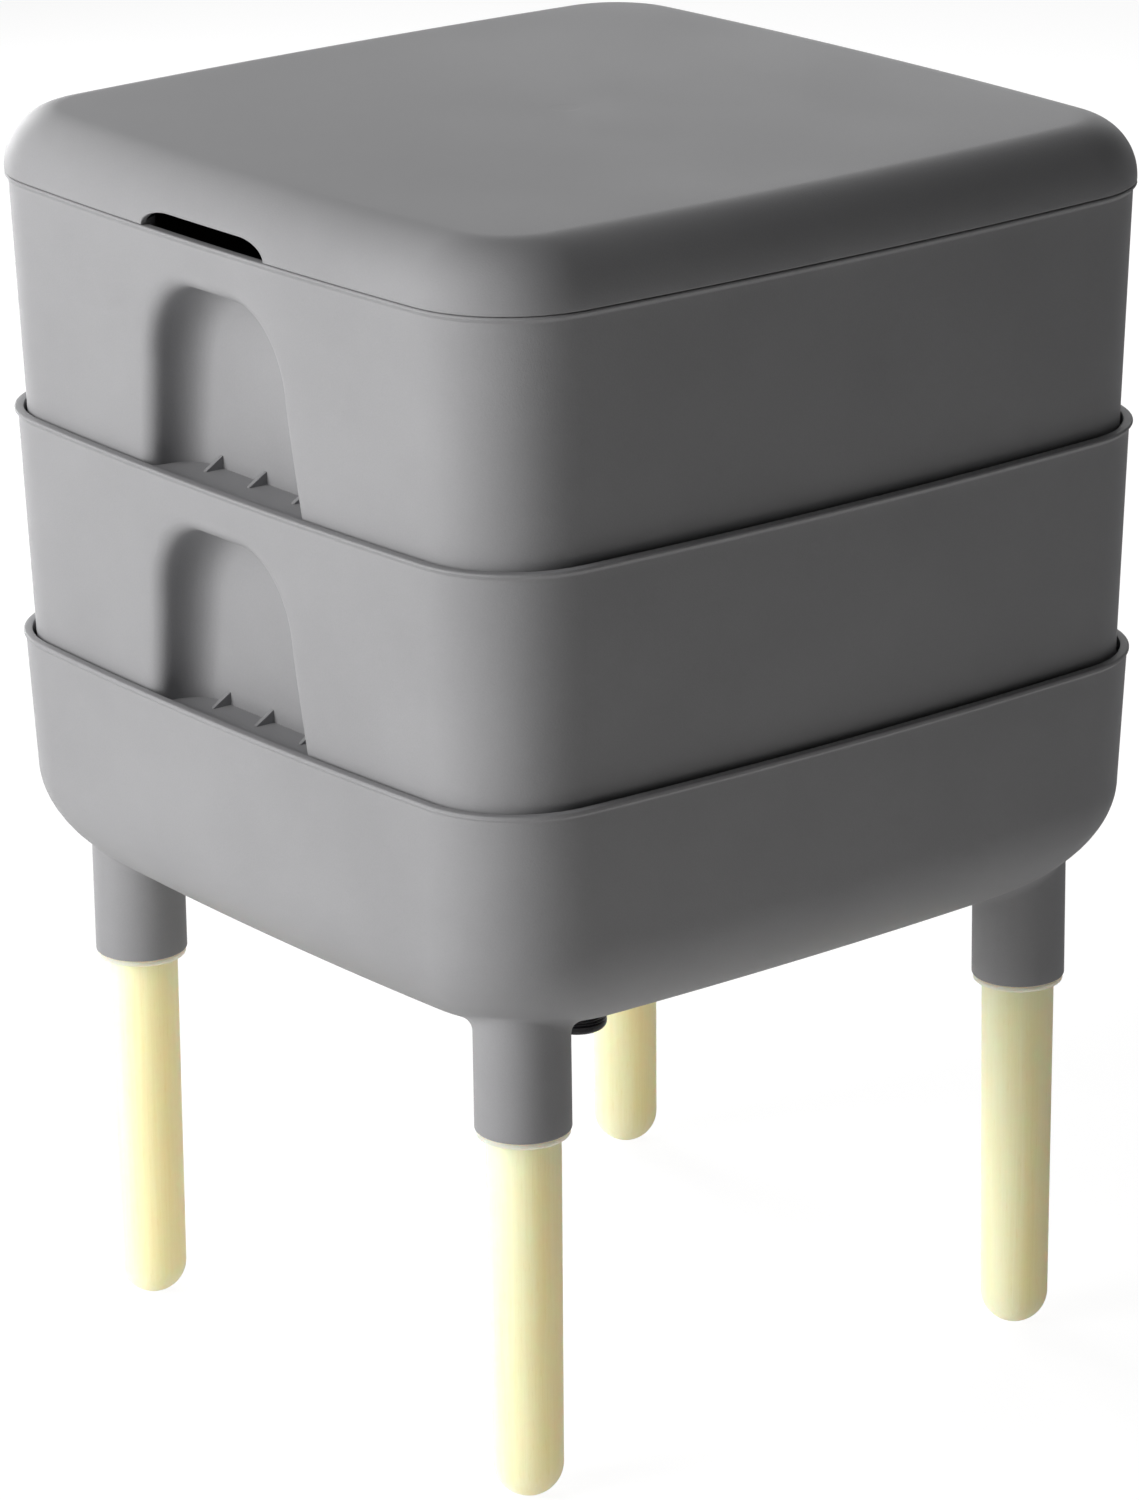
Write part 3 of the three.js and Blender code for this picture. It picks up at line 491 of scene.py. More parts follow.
def archSamples(thickness):
    # the recess's arch from its left foot over the crown to its right foot. Each side spreads
    # as a power of the height under the shoulder, and the crown is a quarter ellipse and a
    # straight. The outward directions stay level at the feet.
    cfg = recessCfg
    skirt, crown, side, rows = pick(cfg, "skirt crownHalf shoulderHalf rows")
    top = trayCfg["height"] - cfg["topDrop"]
    rise = (top - skirt) * cfg["riseShare"]
    shoulder = top - rise
    t = np.linspace(0, 1, cfg["sideSamples"])
    angle = t[1:] * pi / 2
    straight = np.linspace(crown, 0, cfg["topSamples"])[1:]
    x = np.r_[side + (cfg["footHalf"] - side) * (1 - t) ** cfg["flare"],
              crown + (side - crown) * np.cos(angle), straight]
    z = np.r_[skirt + t * (shoulder - skirt), shoulder + rise * np.sin(angle), top + 0 * straight]
    x, z = np.r_[-x, x[-2::-1]], np.r_[z, z[-2::-1]]
    length = np.r_[0, np.cumsum(np.hypot(np.diff(x), np.diff(z)))]
    turnZ = shoulder + rise * sin(pi / 4)
    turnAt = np.interp(turnZ, z[:len(z) // 2], length[:len(z) // 2])
    places = np.r_[
        np.linspace(0, turnAt, rows + 1),
        np.linspace(turnAt, length[-1] - turnAt, cfg["columns"] + 2 * cfg["lead"] + 1)[1:],
        np.linspace(length[-1] - turnAt, length[-1], rows + 1)[1:],
    ]
    outX = -np.gradient(z, length)
    outZ = np.gradient(x, length) * np.clip((z - skirt) / cfg["levelOver"], 0, 1)
    size = np.hypot(outX, outZ)
    z = z - thickness * np.clip(1 - (z - skirt) / cfg["sinkOver"], 0, 1)
    return [np.interp(places, length, v) for v in (x, z, outX / size, outZ / size)]


def recessSheet(border, thickness, halfAt):
    # rings of points from the window's border to the arch, round the edge, along the sides,
    # round the back corner, and over the flat back to a pole on the ledge
    cfg = recessCfg
    archX, archZ, outX, outZ = archSamples(thickness)
    grown = lambda by: (archX + outX * by, archZ + outZ * by)
    edge, back = cfg["edgeRadius"], cfg["backRadius"] + thickness
    round_ = edge - thickness
    backY = cfg["backInset"] - rimHalf + thickness
    rings = [border]
    farX, farZ = grown(edge)
    for share in np.linspace(0, 1, cfg["lead"] + 1)[1:]:
        x = border[:, 0] + (farX - border[:, 0]) * share
        z = border[:, 2] + (farZ - border[:, 2]) * share
        rings.append(spots(x, wallYAt(x, z, halfAt), z))
    for angle in np.linspace(0, pi / 2, 7)[1:]:
        x, z = grown(edge - round_ * sin(angle))
        rings.append(spots(x, wallYAt(x, z, halfAt) + round_ * (1 - cos(angle)), z))
    for angle in np.linspace(0, pi / 2, 9):
        x, z = grown(thickness - back * (1 - cos(angle)))
        rings.append(spots(x, backY - back * (1 - sin(angle)), z))
    x, y, z = rings[-1].T
    for share in np.linspace(1, 0, 7)[1:]:
        rings.append(spots(x * share, y, z[0] + (z - z[0]) * share))
    return np.stack(rings)


def traySide(rows, halves, low, halfAt, thickness, top=None):
    # one face of the tray's wall as a grid with two windows, and the two recesses in them; the
    # grid's last row may be a ring that the other face has too
    cfg = recessCfg
    sides, corners, outer = pick(trayCfg, "sideColumns cornerColumns outerColumns")
    lead, across = pick(cfg, "lead columns")
    end = sideEnd(halves[low])
    edgeX = cfg["footHalf"] + cfg["edgeRadius"]
    stops = [-end, -cfg["windowHalf"], -edgeX, edgeX, cfg["windowHalf"], end]
    counts = [outer, lead, across, lead, outer]
    x = np.concatenate([np.linspace(a, b, n + 1)[:-1] for a, b, n in zip(stops, stops[1:], counts)])
    stations = stationsOf(np.arange(sides) / sides, sharesAt(x, halves[low]), corners)
    grid = rimRings(halves, rows, stations)
    if top is not None:
        grid[-1] = top
    high, wide = low + cfg["rows"], across + 2 * lead
    left = 2 * sides + len(x) + 3 * corners + outer
    right = left + wide
    border = np.concatenate([
        grid[low:high + 1, left], grid[high, left + 1:right + 1], grid[low:high, right][::-1],
    ])
    keep = np.ones((grid.shape[0] - 1, grid.shape[1]), bool)
    for start in (left, sides + corners + outer):
        keep[low:high, start:start + wide] = False
    patch = recessSheet(border, thickness, halfAt)
    ledge = np.concatenate([
        grid[low, left + lead:right - lead + 1], patch[lead + 1:, -1], patch[lead + 1:-1, 0][::-1],
    ])
    inside = thickness > 0
    order = np.arange(len(ledge))[::-1 if inside else 1]
    parts = [sheetOf(patch, flip=not inside), (ledge, [order])]
    parts += [quarterTurned(part, 2) for part in parts]
    return parts + [sheetOf(grid, closed=True, keep=keep, flip=inside)], grid


def gussetParts():
    # small upright ribs on the ledge: a triangle in Y and Z with a blunt nose, with thickness in X
    cfg = recessCfg
    root, edge, skirt = pick(cfg, "gussetRoot gussetEdge skirt")
    backY = cfg["backInset"] - rimHalf
    noseY, topZ = backY - cfg["gussetReach"], skirt + cfg["gussetHeight"]
    section = filleted([
        (backY + root, skirt - root, 0), (noseY, skirt - root, 0), (noseY, skirt + edge, 0.0002),
        (backY - edge, topZ, edge), (backY + root, topZ, 0),
    ], 3)
    half, end = cfg["gussetThickness"] / 2, cfg["gussetEnd"]
    middle = section.mean(0)
    rings = np.stack([
        spots(x, *(middle + (section - middle) * share).T)
        for x, share in ((-half, end), (-half + edge, 1.0), (half - edge, 1.0), (half, end))])
    parts = []
    for i in (-1, 0, 1):
        parts += prismParts(rings + (i * cfg["gussetPitch"], 0, 0), flip=True)
    return parts + [quarterTurned(part, 2) for part in parts]


def stopParts():
    # low rounded blocks on the recess roofs, which carry the next tray
    cfg = stopCfg
    corner, edge = cfg["corner"], cfg["edge"]
    lowZ = trayCfg["height"] - recessCfg["topDrop"] + cfg["root"]
    highZ = trayCfg["height"] - cfg["nestDrop"]
    halfY = (cfg["innerInset"] - cfg["outerInset"]) / 2
    middleY = cfg["outerInset"] + halfY - rimHalf
    c, s = circleOf(cfg["around"], 0.5)
    rows = [(0.0, lowZ, 0.0), (0.0, lowZ, 1.0)]
    rows += [(edge * (1 - cos(t)), highZ - edge * (1 - sin(t)), 1.0) for t in np.linspace(0, pi / 2, 5)]
    rows.append((edge, highZ, 0.0))
    inset, z, share = np.array(rows).T[:, :, None]
    x = (np.sign(c) * (cfg["halfX"] - corner) + (corner - inset) * c) * share
    y = (np.sign(s) * (halfY - corner) + (corner - inset) * s) * share
    block = sheetOf(spots(x, middleY + y, z), closed=True)
    return [block, quarterTurned(block, 2)]


def trayParts():
    cfg, arch = trayCfg, recessCfg
    high, floor = cfg["height"], cfg["floor"]
    angle = np.linspace(0, pi / 2, 6)
    low = len(angle) + 2

    def faceRows(floorZ, radius, skirt, footAt, halfAt):
        # heights and half widths up a face: the round at its foot, the skirt, and the window
        turnZ = floorZ + radius * (1 - np.cos(angle))
        upZ = np.r_[np.linspace(floorZ + radius, skirt, 4)[1:],
                    np.linspace(skirt, arch["windowTop"], arch["rows"] + 1)[1:]]
        return np.r_[turnZ, upZ], np.r_[footAt(turnZ) - radius * (1 - np.sin(angle)), halfAt(upZ)]

    beadLow, innerTop = high - cfg["beadHeight"] - cfg["bead"] / 2, high - cfg["rimStep"]
    rim = filleted([
        (outerHalfAt(arch["windowTop"]), arch["windowTop"], 0),
        (outerHalfAt(beadLow), beadLow, cfg["beadRound"]),
        (rimHalf, beadLow + cfg["bead"], cfg["beadFoot"]),
        (rimHalf, high, cfg["rimEdge"]),
        (innerHalf, high, cfg["rimInnerEdge"]),
        (innerHalfAt(innerTop), innerTop, 0),
    ])[1:]
    z, half = faceRows(0.0, cfg["footRadius"], arch["skirt"], lambda z: footHalf, outerHalfAt)
    parts, outside = traySide(np.r_[z, rim[:, 1]], np.r_[half, rim[:, 0]], low, outerHalfAt, 0.0)
    innerSkirt = arch["skirt"] - cfg["wall"]
    z, half = faceRows(floor, cfg["innerFootRadius"], innerSkirt, innerHalfAt, innerHalfAt)
    z, half = np.r_[z, innerTop], np.r_[half, innerHalfAt(innerTop)]
    innerParts, inside = traySide(z, half, low, innerHalfAt, cfg["wall"], top=outside[-1])
    along = (np.arange(cfg["holesAcross"]) - (cfg["holesAcross"] - 1) / 2) * cfg["holePitch"]
    centres = np.stack(np.meshgrid(along, along), -1).reshape(-1, 2)
    parts += innerParts + drilledFloor(
        outside[0], inside[0], 0.0, floor, centres, cfg["holeRadius"], cfg["holeSteps"])
    return parts + gussetParts() + stopParts()


trayMould = trayParts()
for name in ("upper", "middle"):
    placed = [(points + (0, 0, trayCfg["feet"][name]), faces) for points, faces in trayMould]
    makePiece(name + "TrayShell", placed, greyPlastic, name, [name + "_tray"])


baseCfg = {
    "rimZ": 0.3265, "wall": 0.003, "straight": 0.0618, "wallInset": 0.0022,
    "bead": 0.00095, "beadHeight": 0.0021, "beadRound": 0.0014, "beadFoot": 0.0005,
    "rimEdge": 0.0007, "rimInnerEdge": 0.0003, "rimStep": 0.004, "underBead": 0.001,
    "bowlInset": 0.0647, "bowlDepth": 0.0551, "endAngle": 1.4, "socketAngle": 0.4,
    "landRadius": 0.024, "landThickness": 0.004, "landEdge": 0.0004,
    "outletRadius": 0.0103, "outletEdge": 0.0005,
    "sideColumns": 16, "cornerColumns": 24, "halvings": 36,
    "ribDrop": 0.02065, "ribReach": 0.007, "ribHeight": 0.026, "ribThickness": 0.003,
    "ribSpread": 0.070, "ribRound": 0.0008, "ribFace": 0.002,
}
socketCfg = {
    "axis": 0.1419, "radius": 0.0209,
    "blend": 0.0052,       # reach of the fillet where a socket meets the bowl
    "blendOutside": 0.0015,
    "evenShare": 0.6,      # how far the columns' directions are evened out round the axis
    "mouthZ": 0.17065, "mouthEdge": 0.0008, "boreRadius": 0.0168, "boreTopZ": 0.21295,
}
baseWallHalf = rimHalf - baseCfg["bead"]
bowlHalf = baseWallHalf - baseCfg["wallInset"]
wallFootZ = baseCfg["rimZ"] - baseCfg["straight"]


def bowlLevels(angle, thickness):
    # an ellipse in half width and height, moved in along its normal by the thickness
    depth, inset = baseCfg["bowlDepth"], baseCfg["bowlInset"]
    size = np.hypot(depth * np.cos(angle), inset * np.sin(angle))
    outX, outZ = depth * np.cos(angle) / size, -inset * np.sin(angle) / size
    half = bowlHalf - inset * (1 - np.cos(angle)) - outX * thickness
    z = wallFootZ - depth * np.sin(angle) - outZ * thickness
    return half, outlineShape["rimCorner"] - thickness * outX, z


def landHeight(thickness):
    # height where the straight fall from the bowl's end reaches the outlet's land
    half, _, z = bowlLevels(baseCfg["endAngle"], thickness)
    fall = baseCfg["bowlDepth"] / (baseCfg["bowlInset"] * tan(baseCfg["endAngle"]))
    return float(z - (half - baseCfg["landRadius"]) * fall)


def reachAt(direction, half, corner):
    # distance from the middle to the outline in a direction, folded into an eighth of a turn
    bow, across, centre, turn = arcsOf(half, corner)
    folded = direction % (pi / 2)
    folded = np.minimum(folded, pi / 2 - folded)
    joint = np.arctan2(centre + corner * np.sin(turn), centre + corner * np.cos(turn))
    along = across * np.cos(folded)
    onSide = along + np.sqrt(along ** 2 - across ** 2 + bow ** 2)
    slant = centre * (np.cos(folded) + np.sin(folded))
    onArc = slant + np.sqrt(np.maximum(slant ** 2 - 2 * centre ** 2 + corner ** 2, 0))
    return np.where(folded < joint, onSide, onArc)


def bowlHeight(x, y):
    # height of the bowl's outside over a place: a cone near the outlet, and further out the
    # ellipse, whose angle is found by halving
    reach, direction = np.hypot(x, y), np.arctan2(y, x)
    endHalf, endCorner, endZ = bowlLevels(baseCfg["endAngle"], 0.0)
    end = reachAt(direction, endHalf, endCorner)
    landZ, landRadius = landHeight(0.0), baseCfg["landRadius"]
    cone = landZ + (endZ - landZ) * (reach - landRadius) / (end - landRadius)
    low, high = np.zeros_like(reach), np.full_like(reach, baseCfg["endAngle"])
    for _ in range(baseCfg["halvings"]):
        middle = (low + high) / 2
        half, corner, _ = bowlLevels(middle, 0.0)
        beyond = reachAt(direction, half, corner) > reach
        low, high = np.where(beyond, middle, low), np.where(beyond, high, middle)
    return np.where(reach < end, cone, bowlLevels((low + high) / 2, 0.0)[2])


def socketSheet(border):
    # rings from the window's border to a circle on the bowl, down a parabola that leaves the
    # bowl and joins the upright socket smoothly, round the mouth, and up the bore to a pole
    cfg = socketCfg
    axis, radius, mouth, edge, boreTop = pick(cfg, "axis radius mouthZ mouthEdge boreTopZ")
    fromAxis = border[:, :2] - axis
    angle = np.unwrap(np.arctan2(fromAxis[:, 1], fromAxis[:, 0]))
    even = angle[0] - np.arange(len(angle)) * 2 * pi / len(angle)
    angle += (even + (angle - even).mean() - angle) * cfg["evenShare"]
    awayX, awayY = np.cos(angle), np.sin(angle)
    # the fillet shrinks towards the object's outside as the squared cosine of the direction
    outward = np.clip(np.cos(angle - pi / 4), 0, 1) ** 2
    blend = cfg["blend"] - (cfg["blend"] - cfg["blendOutside"]) * outward
    ringAt = lambda reach, z: spots(axis + awayX * reach, axis + awayY * reach, z)
    heightAt = lambda reach: bowlHeight(axis + awayX * reach, axis + awayY * reach)
    outer, step = radius + blend, 0.0004
    circle = ringAt(outer, 0.0)
    rings = [border]
    for share in np.linspace(0, 1, 6)[1:]:
        x, y, _ = (border + (circle - border) * share).T
        rings.append(spots(x, y, bowlHeight(x, y)))
    topZ = heightAt(outer)
    slope = (topZ - heightAt(outer - step)) / step
    kneeZ = topZ - slope * blend
    footZ = kneeZ - blend * np.hypot(1, slope)
    for share in np.linspace(1, 0, 15)[1:]:
        z = (1 - share) ** 2 * footZ + 2 * share * (1 - share) * kneeZ + share ** 2 * topZ
        rings.append(ringAt(radius + blend * share ** 2, z))
    for share in np.linspace(0, 1, 6)[1:]:
        rings.append(ringAt(radius, footZ + (mouth + edge - footZ) * share))
    for turn in np.linspace(0, pi / 2, 5)[1:]:
        rings.append(ringAt(radius - edge * (1 - cos(turn)), mouth + edge * (1 - sin(turn))))
    bore = cfg["boreRadius"]
    rings += [ringAt(reach, z) for reach, z in ((bore, mouth), (bore, boreTop), (0.0, boreTop))]
    return sheetOf(np.stack(rings), closed=True)


def baseParts():
    cfg = baseCfg
    sides, corners, wall, rimZ, bead = pick(cfg, "sideColumns cornerColumns wall rimZ bead")
    bore, boreEdge, landRadius, landEdge = pick(cfg, "outletRadius outletEdge landRadius landEdge")
    shares = np.arange(sides) / sides
    stations = stationsOf(shares, shares, corners)
    landZ = landHeight(0.0)
    landTop = landZ + cfg["landThickness"]
    angle = np.linspace(cfg["endAngle"], 0, 29)
    bowl = ringsAt(*bowlLevels(angle, 0.0), stations)
    outward = bowl[0, :, :2] / np.linalg.norm(bowl[0, :, :2], axis=1)[:, None]
    coneShares = np.r_[0, np.linspace(0.08, 0.9, 9), 0.955]

    def circleRings(*profile):
        return np.stack([spots(*(outward * r).T, z) for r, z in profile])

    def coneRings(endRing, startZ):
        # straight lines from the land's circle to the end of the bowl, column by column
        start = circleRings((landRadius, startZ))
        return start + (endRing - start) * coneShares[:, None, None]

    def between(first, last, count):
        # rings at even steps between two (half width, corner radius, height) levels
        share = np.linspace(0, 1, count)[1:-1]
        return ringsAt(*(a + (b - a) * share for a, b in zip(first, last)), stations)

    wallTop, corner = rimZ - cfg["beadHeight"], outlineShape["rimCorner"]
    lowTop = wallTop - bead / 2 - cfg["underBead"]
    topHalf = bowlHalf + (baseWallHalf - bowlHalf) * (lowTop - wallFootZ) / (wallTop - wallFootZ)
    wallRows = between((bowlHalf, corner, wallFootZ), (topHalf, corner - bead, lowTop), 13)
    inner, stepZ = baseWallHalf - wall, rimZ - cfg["rimStep"]
    rim = filleted([
        (topHalf, lowTop, 0),
        (baseWallHalf, wallTop - bead / 2, cfg["beadRound"]),
        (rimHalf, wallTop + bead / 2, cfg["beadFoot"]),
        (rimHalf, rimZ, cfg["rimEdge"]),
        (inner, rimZ, cfg["rimInnerEdge"]),
        (inner, stepZ, 0),
    ])
    rimRows = rimRings(rim[:, 0], rim[:, 1], stations)
    outlet = circleRings((bore, landTop - boreEdge), (bore, landZ + boreEdge), (bore + boreEdge, landZ))
    outside = np.concatenate([outlet, coneRings(bowl[0], landZ), bowl, wallRows, rimRows])
    low = len(outlet) + len(coneShares) - 1
    high = low + 1 + int(np.argmin(np.abs(angle - cfg["socketAngle"])))

    innerLevels = bowlLevels(angle[::-1], wall)
    firstLevel = [level[0] for level in innerLevels]
    innerWall = between((inner, corner - bead - wall, stepZ), firstLevel, 12)
    innerBowl = ringsAt(*innerLevels, stations)
    innerCone = coneRings(innerBowl[-1], landHeight(wall))[::-1]
    innerOutlet = circleRings(
        (landRadius, landTop - landEdge), (landRadius - landEdge, landTop),
        (bore + boreEdge, landTop), (bore, landTop - boreEdge))
    inside = np.concatenate([rimRows[-1:], innerWall, innerBowl, innerCone, innerOutlet])

    left, right = sides - 1, sides + corners + 1
    border = np.concatenate([
        outside[low, left:right + 1], outside[low + 1:high + 1, right],
        outside[high, left:right][::-1], outside[low + 1:high, left][::-1],
    ])
    keep = np.ones((len(outside) - 1, outside.shape[1]), bool)
    for quarter in range(4):
        columns = (np.arange(left, right) + quarter * (sides + corners)) % outside.shape[1]
        keep[low:high, columns] = False
    socket = socketSheet(border)
    parts = [quarterTurned(socket, quarter) for quarter in range(4)]
    parts += [sheetOf(outside, closed=True, keep=keep), sheetOf(inside, closed=True)]
    return parts + ribParts()


def ribParts():
    # eight upright ribs on the inner wall: a wedge in X and Z with thickness in Y
    cfg = baseCfg
    sag = cfg["ribSpread"] ** 2 / (2 * outlineShape["sideBow"])
    wall, rimZ, round_ = pick(cfg, "wall rimZ ribRound")
    wallAt = lambda drop: baseWallHalf - cfg["wallInset"] * drop / cfg["straight"] - sag - wall / 2
    top, foot = cfg["ribDrop"], cfg["ribDrop"] + cfg["ribHeight"]
    topZ, footZ = rimZ - top, rimZ - foot
    face = wallAt(top) - wall / 2 - cfg["ribReach"]
    x, z = filleted([
        (wallAt(top), topZ, 0), (face, topZ, round_), (face, topZ - cfg["ribFace"], round_),
        (wallAt(foot) - wall / 2, footZ, 0), (wallAt(foot), footZ, 0),
    ], 3).T
    half, spread = cfg["ribThickness"] / 2, cfg["ribSpread"]
    parts = []
    for middle in (-spread, spread):
        parts += prismParts(np.stack([spots(x, middle + y, z) for y in (-half, half)]), flip=False)
    return [quarterTurned(part, quarter) for quarter in range(4) for part in parts]


makePiece("collectorShell", baseParts(), greyPlastic, "collector", ["base_tray"])


lidCfg = {
    "seatZ": 0.53755, "sideHeight": 0.0016, "roundInset": 0.0258, "roundHeight": 0.0258,
    "crown": 0.001, "wall": 0.0026, "edge": 0.0007, "joinZ": 0.0105,
    "lipDepth": 0.008, "lipThickness": 0.0024, "lipClearance": 0.0009, "lipRoot": 0.0005,
    "seatThickness": 0.003,
    "notchFootHalf": 0.044, "notchHeadHalf": 0.025, "notchHeight": 0.0078,
    "besideFoot": 0.0001,  # distance of the columns on both sides of the notch's foot
    "pastFoot": 0.002,
    "sideColumns": 16, "cornerColumns": 20,
}


def notchHeightAt(x):
    # height of the notch over the seat along the wall: a level head with a quarter ellipse
    # down to the seat at each end
    foot, head = lidCfg["notchFootHalf"], lidCfg["notchHeadHalf"]
    along = np.clip((np.abs(x) - head) / (foot - head), 0, 1)
    return lidCfg["notchHeight"] * np.sqrt(1 - along ** 2)


def lidParts():
    cfg = lidCfg
    side, inset, rise, wall, edge = pick(cfg, "sideHeight roundInset roundHeight wall edge")
    foot, head, sides = pick(cfg, "notchFootHalf notchHeadHalf sideColumns")
    beside, past = pick(cfg, "besideFoot pastFoot")
    bend = head + (foot - beside - head) * np.sin(np.linspace(0, pi / 2, 13))
    right = np.r_[bend, foot + beside, np.linspace(foot + past, sideEnd(rimHalf), 7)]
    x = np.r_[-right[::-1], np.linspace(-head, head, 15)[1:-1], right[:-1]]
    stations = stationsOf(np.arange(sides) / sides, sharesAt(x, rimHalf), cfg["cornerColumns"])
    quarter, onCorner, _ = stations
    columnX = np.full(len(quarter), 1.0)       # far from the notches but for the two sides
    for which in (1, 3):
        columnX[(quarter == which) & ~onCorner] = x
    notch = np.abs(columnX) < foot
    footZ = np.where(notch, notchHeightAt(columnX), 0.0)

    def halfAtHeight(z, thickness):
        up = np.clip((z - side) / (rise - thickness), 0, 1)
        return rimHalf - thickness - (inset - thickness) * (1 - np.sqrt(1 - up ** 2))

    rows = []              # half width and height over the seat, from the middle inside to outside
    endAngle = np.arcsin(np.maximum(footZ - side, 0) / (rise - wall))
    for share in np.linspace(1, 0, 15):
        angle = endAngle + (pi / 2 - endAngle) * share
        half = rimHalf - wall - (inset - wall) * (1 - np.cos(angle))
        rows.append((half, side + (rise - wall) * np.sin(angle)))
    lipHalf = innerHalf - cfg["lipClearance"]
    lipInner = lipHalf - cfg["lipThickness"]
    shelf = np.where(notch, halfAtHeight(footZ, wall), lipInner)
    rows += [(shelf, np.where(notch, footZ, cfg["seatThickness"])), (shelf, footZ)]
    outerHalf = halfAtHeight(footZ + edge, 0.0)
    for turn in np.linspace(0, pi / 2, 5):
        rows.append((outerHalf - edge * (1 - sin(turn)), footZ + edge * (1 - cos(turn))))
    for share in np.linspace(0, 1, 8)[1:]:
        z = footZ + edge + (cfg["joinZ"] - footZ - edge) * share
        rows.append((halfAtHeight(z, 0.0), z))
    for angle in np.linspace(asin((cfg["joinZ"] - side) / rise), pi / 2, 26)[1:]:
        level = np.ones(len(quarter))
        rows.append((level * (rimHalf - inset * (1 - cos(angle))), level * (side + rise * sin(angle))))
    half, z = (np.stack(values) for values in zip(*rows))
    shell = rimRings(half, z + cfg["seatZ"], stations)

    def crownRings(ring, shares):
        # the ring drawn in to the middle, over a crown that starts and ends level
        flat = ring[None, :, :2] * shares[:, None, None]
        across = 1 - np.clip(flat / (rimHalf - inset), -1, 1) ** 2
        return spots(flat[..., 0], flat[..., 1], ring[0, 2] + cfg["crown"] * (across ** 2).prod(-1))

    shares = np.linspace(0, 1, 15)[:-1]
    grid = np.concatenate([crownRings(shell[0], shares), shell, crownRings(shell[-1], shares)[::-1]])
    parts = [sheetOf(grid, closed=True)]

    # the lip that drops into the upper tray, cut away at both notches
    section = filleted([
        (lipInner, cfg["seatThickness"] / 2, 0), (lipInner, -cfg["lipDepth"], edge),
        (lipHalf, -cfg["lipDepth"], edge), (lipHalf, cfg["lipRoot"], 0),
    ], 3)
    lip = rimRings(section[:, 0], section[:, 1] + cfg["seatZ"], stations)
    outsideNotch = np.flatnonzero(~notch)
    first, second = np.flatnonzero(np.diff(outsideNotch) > 1) + 1
    order = np.arange(len(section))
    for run in (outsideNotch[first:second], np.r_[outsideNotch[second:], outsideNotch[:first]]):
        strip = lip[:, run]
        parts.append(sheetOf(np.concatenate([strip, strip[:1]])))
        parts += [(strip[:, 0], [order]), (strip[:, -1], [order[::-1]])]
    return parts


def lidPlastic():
    # the moulded plastic with the faint round gate mark in the middle of the lid
    material = greyPlastic.copy()
    material.name = "lidPlastic"
    tree = material.node_tree
    place = tree.nodes["Texture Coordinate"].outputs["Object"]
    flat = addNode(tree, "VectorMath", {0: place, 1: (1, 1, 0)}, operation="MULTIPLY").outputs["Vector"]
    away = addNode(tree, "VectorMath", {0: flat}, operation="LENGTH").outputs["Value"]
    ring, nub = ramped(tree, away, 0.0062, 0.0072), ramped(tree, away, 0.0014, 0.0008)
    feed(tree, tree.nodes["Bump"], {"Normal": bumpOf(tree, added(tree, ring, nub, 1.0), 0.5, 0.0002)})
    return material


makePiece("lidShell", lidParts(), lidPlastic(), "cover", ["lid"])


legCfg = {
    "reach": 0.17035, "topRadius": 0.0163, "footRadius": 0.0153, "footFlat": 0.004,
    "shoulderRadius": 0.0202, "shoulderThickness": 0.0025, "shoulderEdge": 0.0008,
    "shoulderRound": 0.0004, "upperEdge": 0.0003, "shaftEnd": 0.001,
    "tenonRadius": 0.0165, "tenonLength": 0.042, "tenonChamfer": 0.0015, "steps": 64,
}


def legProfile(cfg):
    # a flat, a round end on one radius, a slightly tapered shaft, the shoulder ring, the tenon
    radius, top, ring, tenon, reach = pick(cfg, "footRadius topRadius shoulderRadius tenonRadius reach")
    start = asin(cfg["footFlat"] / radius)
    angle = np.linspace(start, pi / 2, 20)
    footTop = radius * cos(start)
    foot = spots(radius * np.sin(angle), radius * cos(start) - radius * np.cos(angle))
    shoulderZ, tenonTop = reach - cfg["shoulderThickness"], reach + cfg["tenonLength"]
    shaftZ = np.linspace(footTop, shoulderZ - cfg["shaftEnd"], 12)[1:]
    shaft = radius + (top - radius) * (shaftZ - footTop) / (shoulderZ - footTop)
    upper = filleted([
        (shaft[-1], shaftZ[-1], 0), (top, shoulderZ, cfg["shoulderRound"]),
        (ring, shoulderZ, cfg["shoulderEdge"]), (ring, reach, cfg["upperEdge"]),
        (tenon, reach, 0), (tenon, tenonTop, cfg["tenonChamfer"]), (0, tenonTop, 0),
    ])[1:]
    return np.concatenate([[(0, 0)], foot, spots(shaft, shaftZ), upper])


for end, y in (("front", -1), ("back", 1)):
    for side, x in (("left", -1), ("right", 1)):
        at = socketCfg["axis"]
        leg = turnedSheet(legProfile(legCfg), legCfg["steps"], x * at, y * at)
        makePiece(end + side.title() + "TurnedLeg", [leg], paleBeech, "collector",
                  [f"{end}_{side}_leg"], 40)


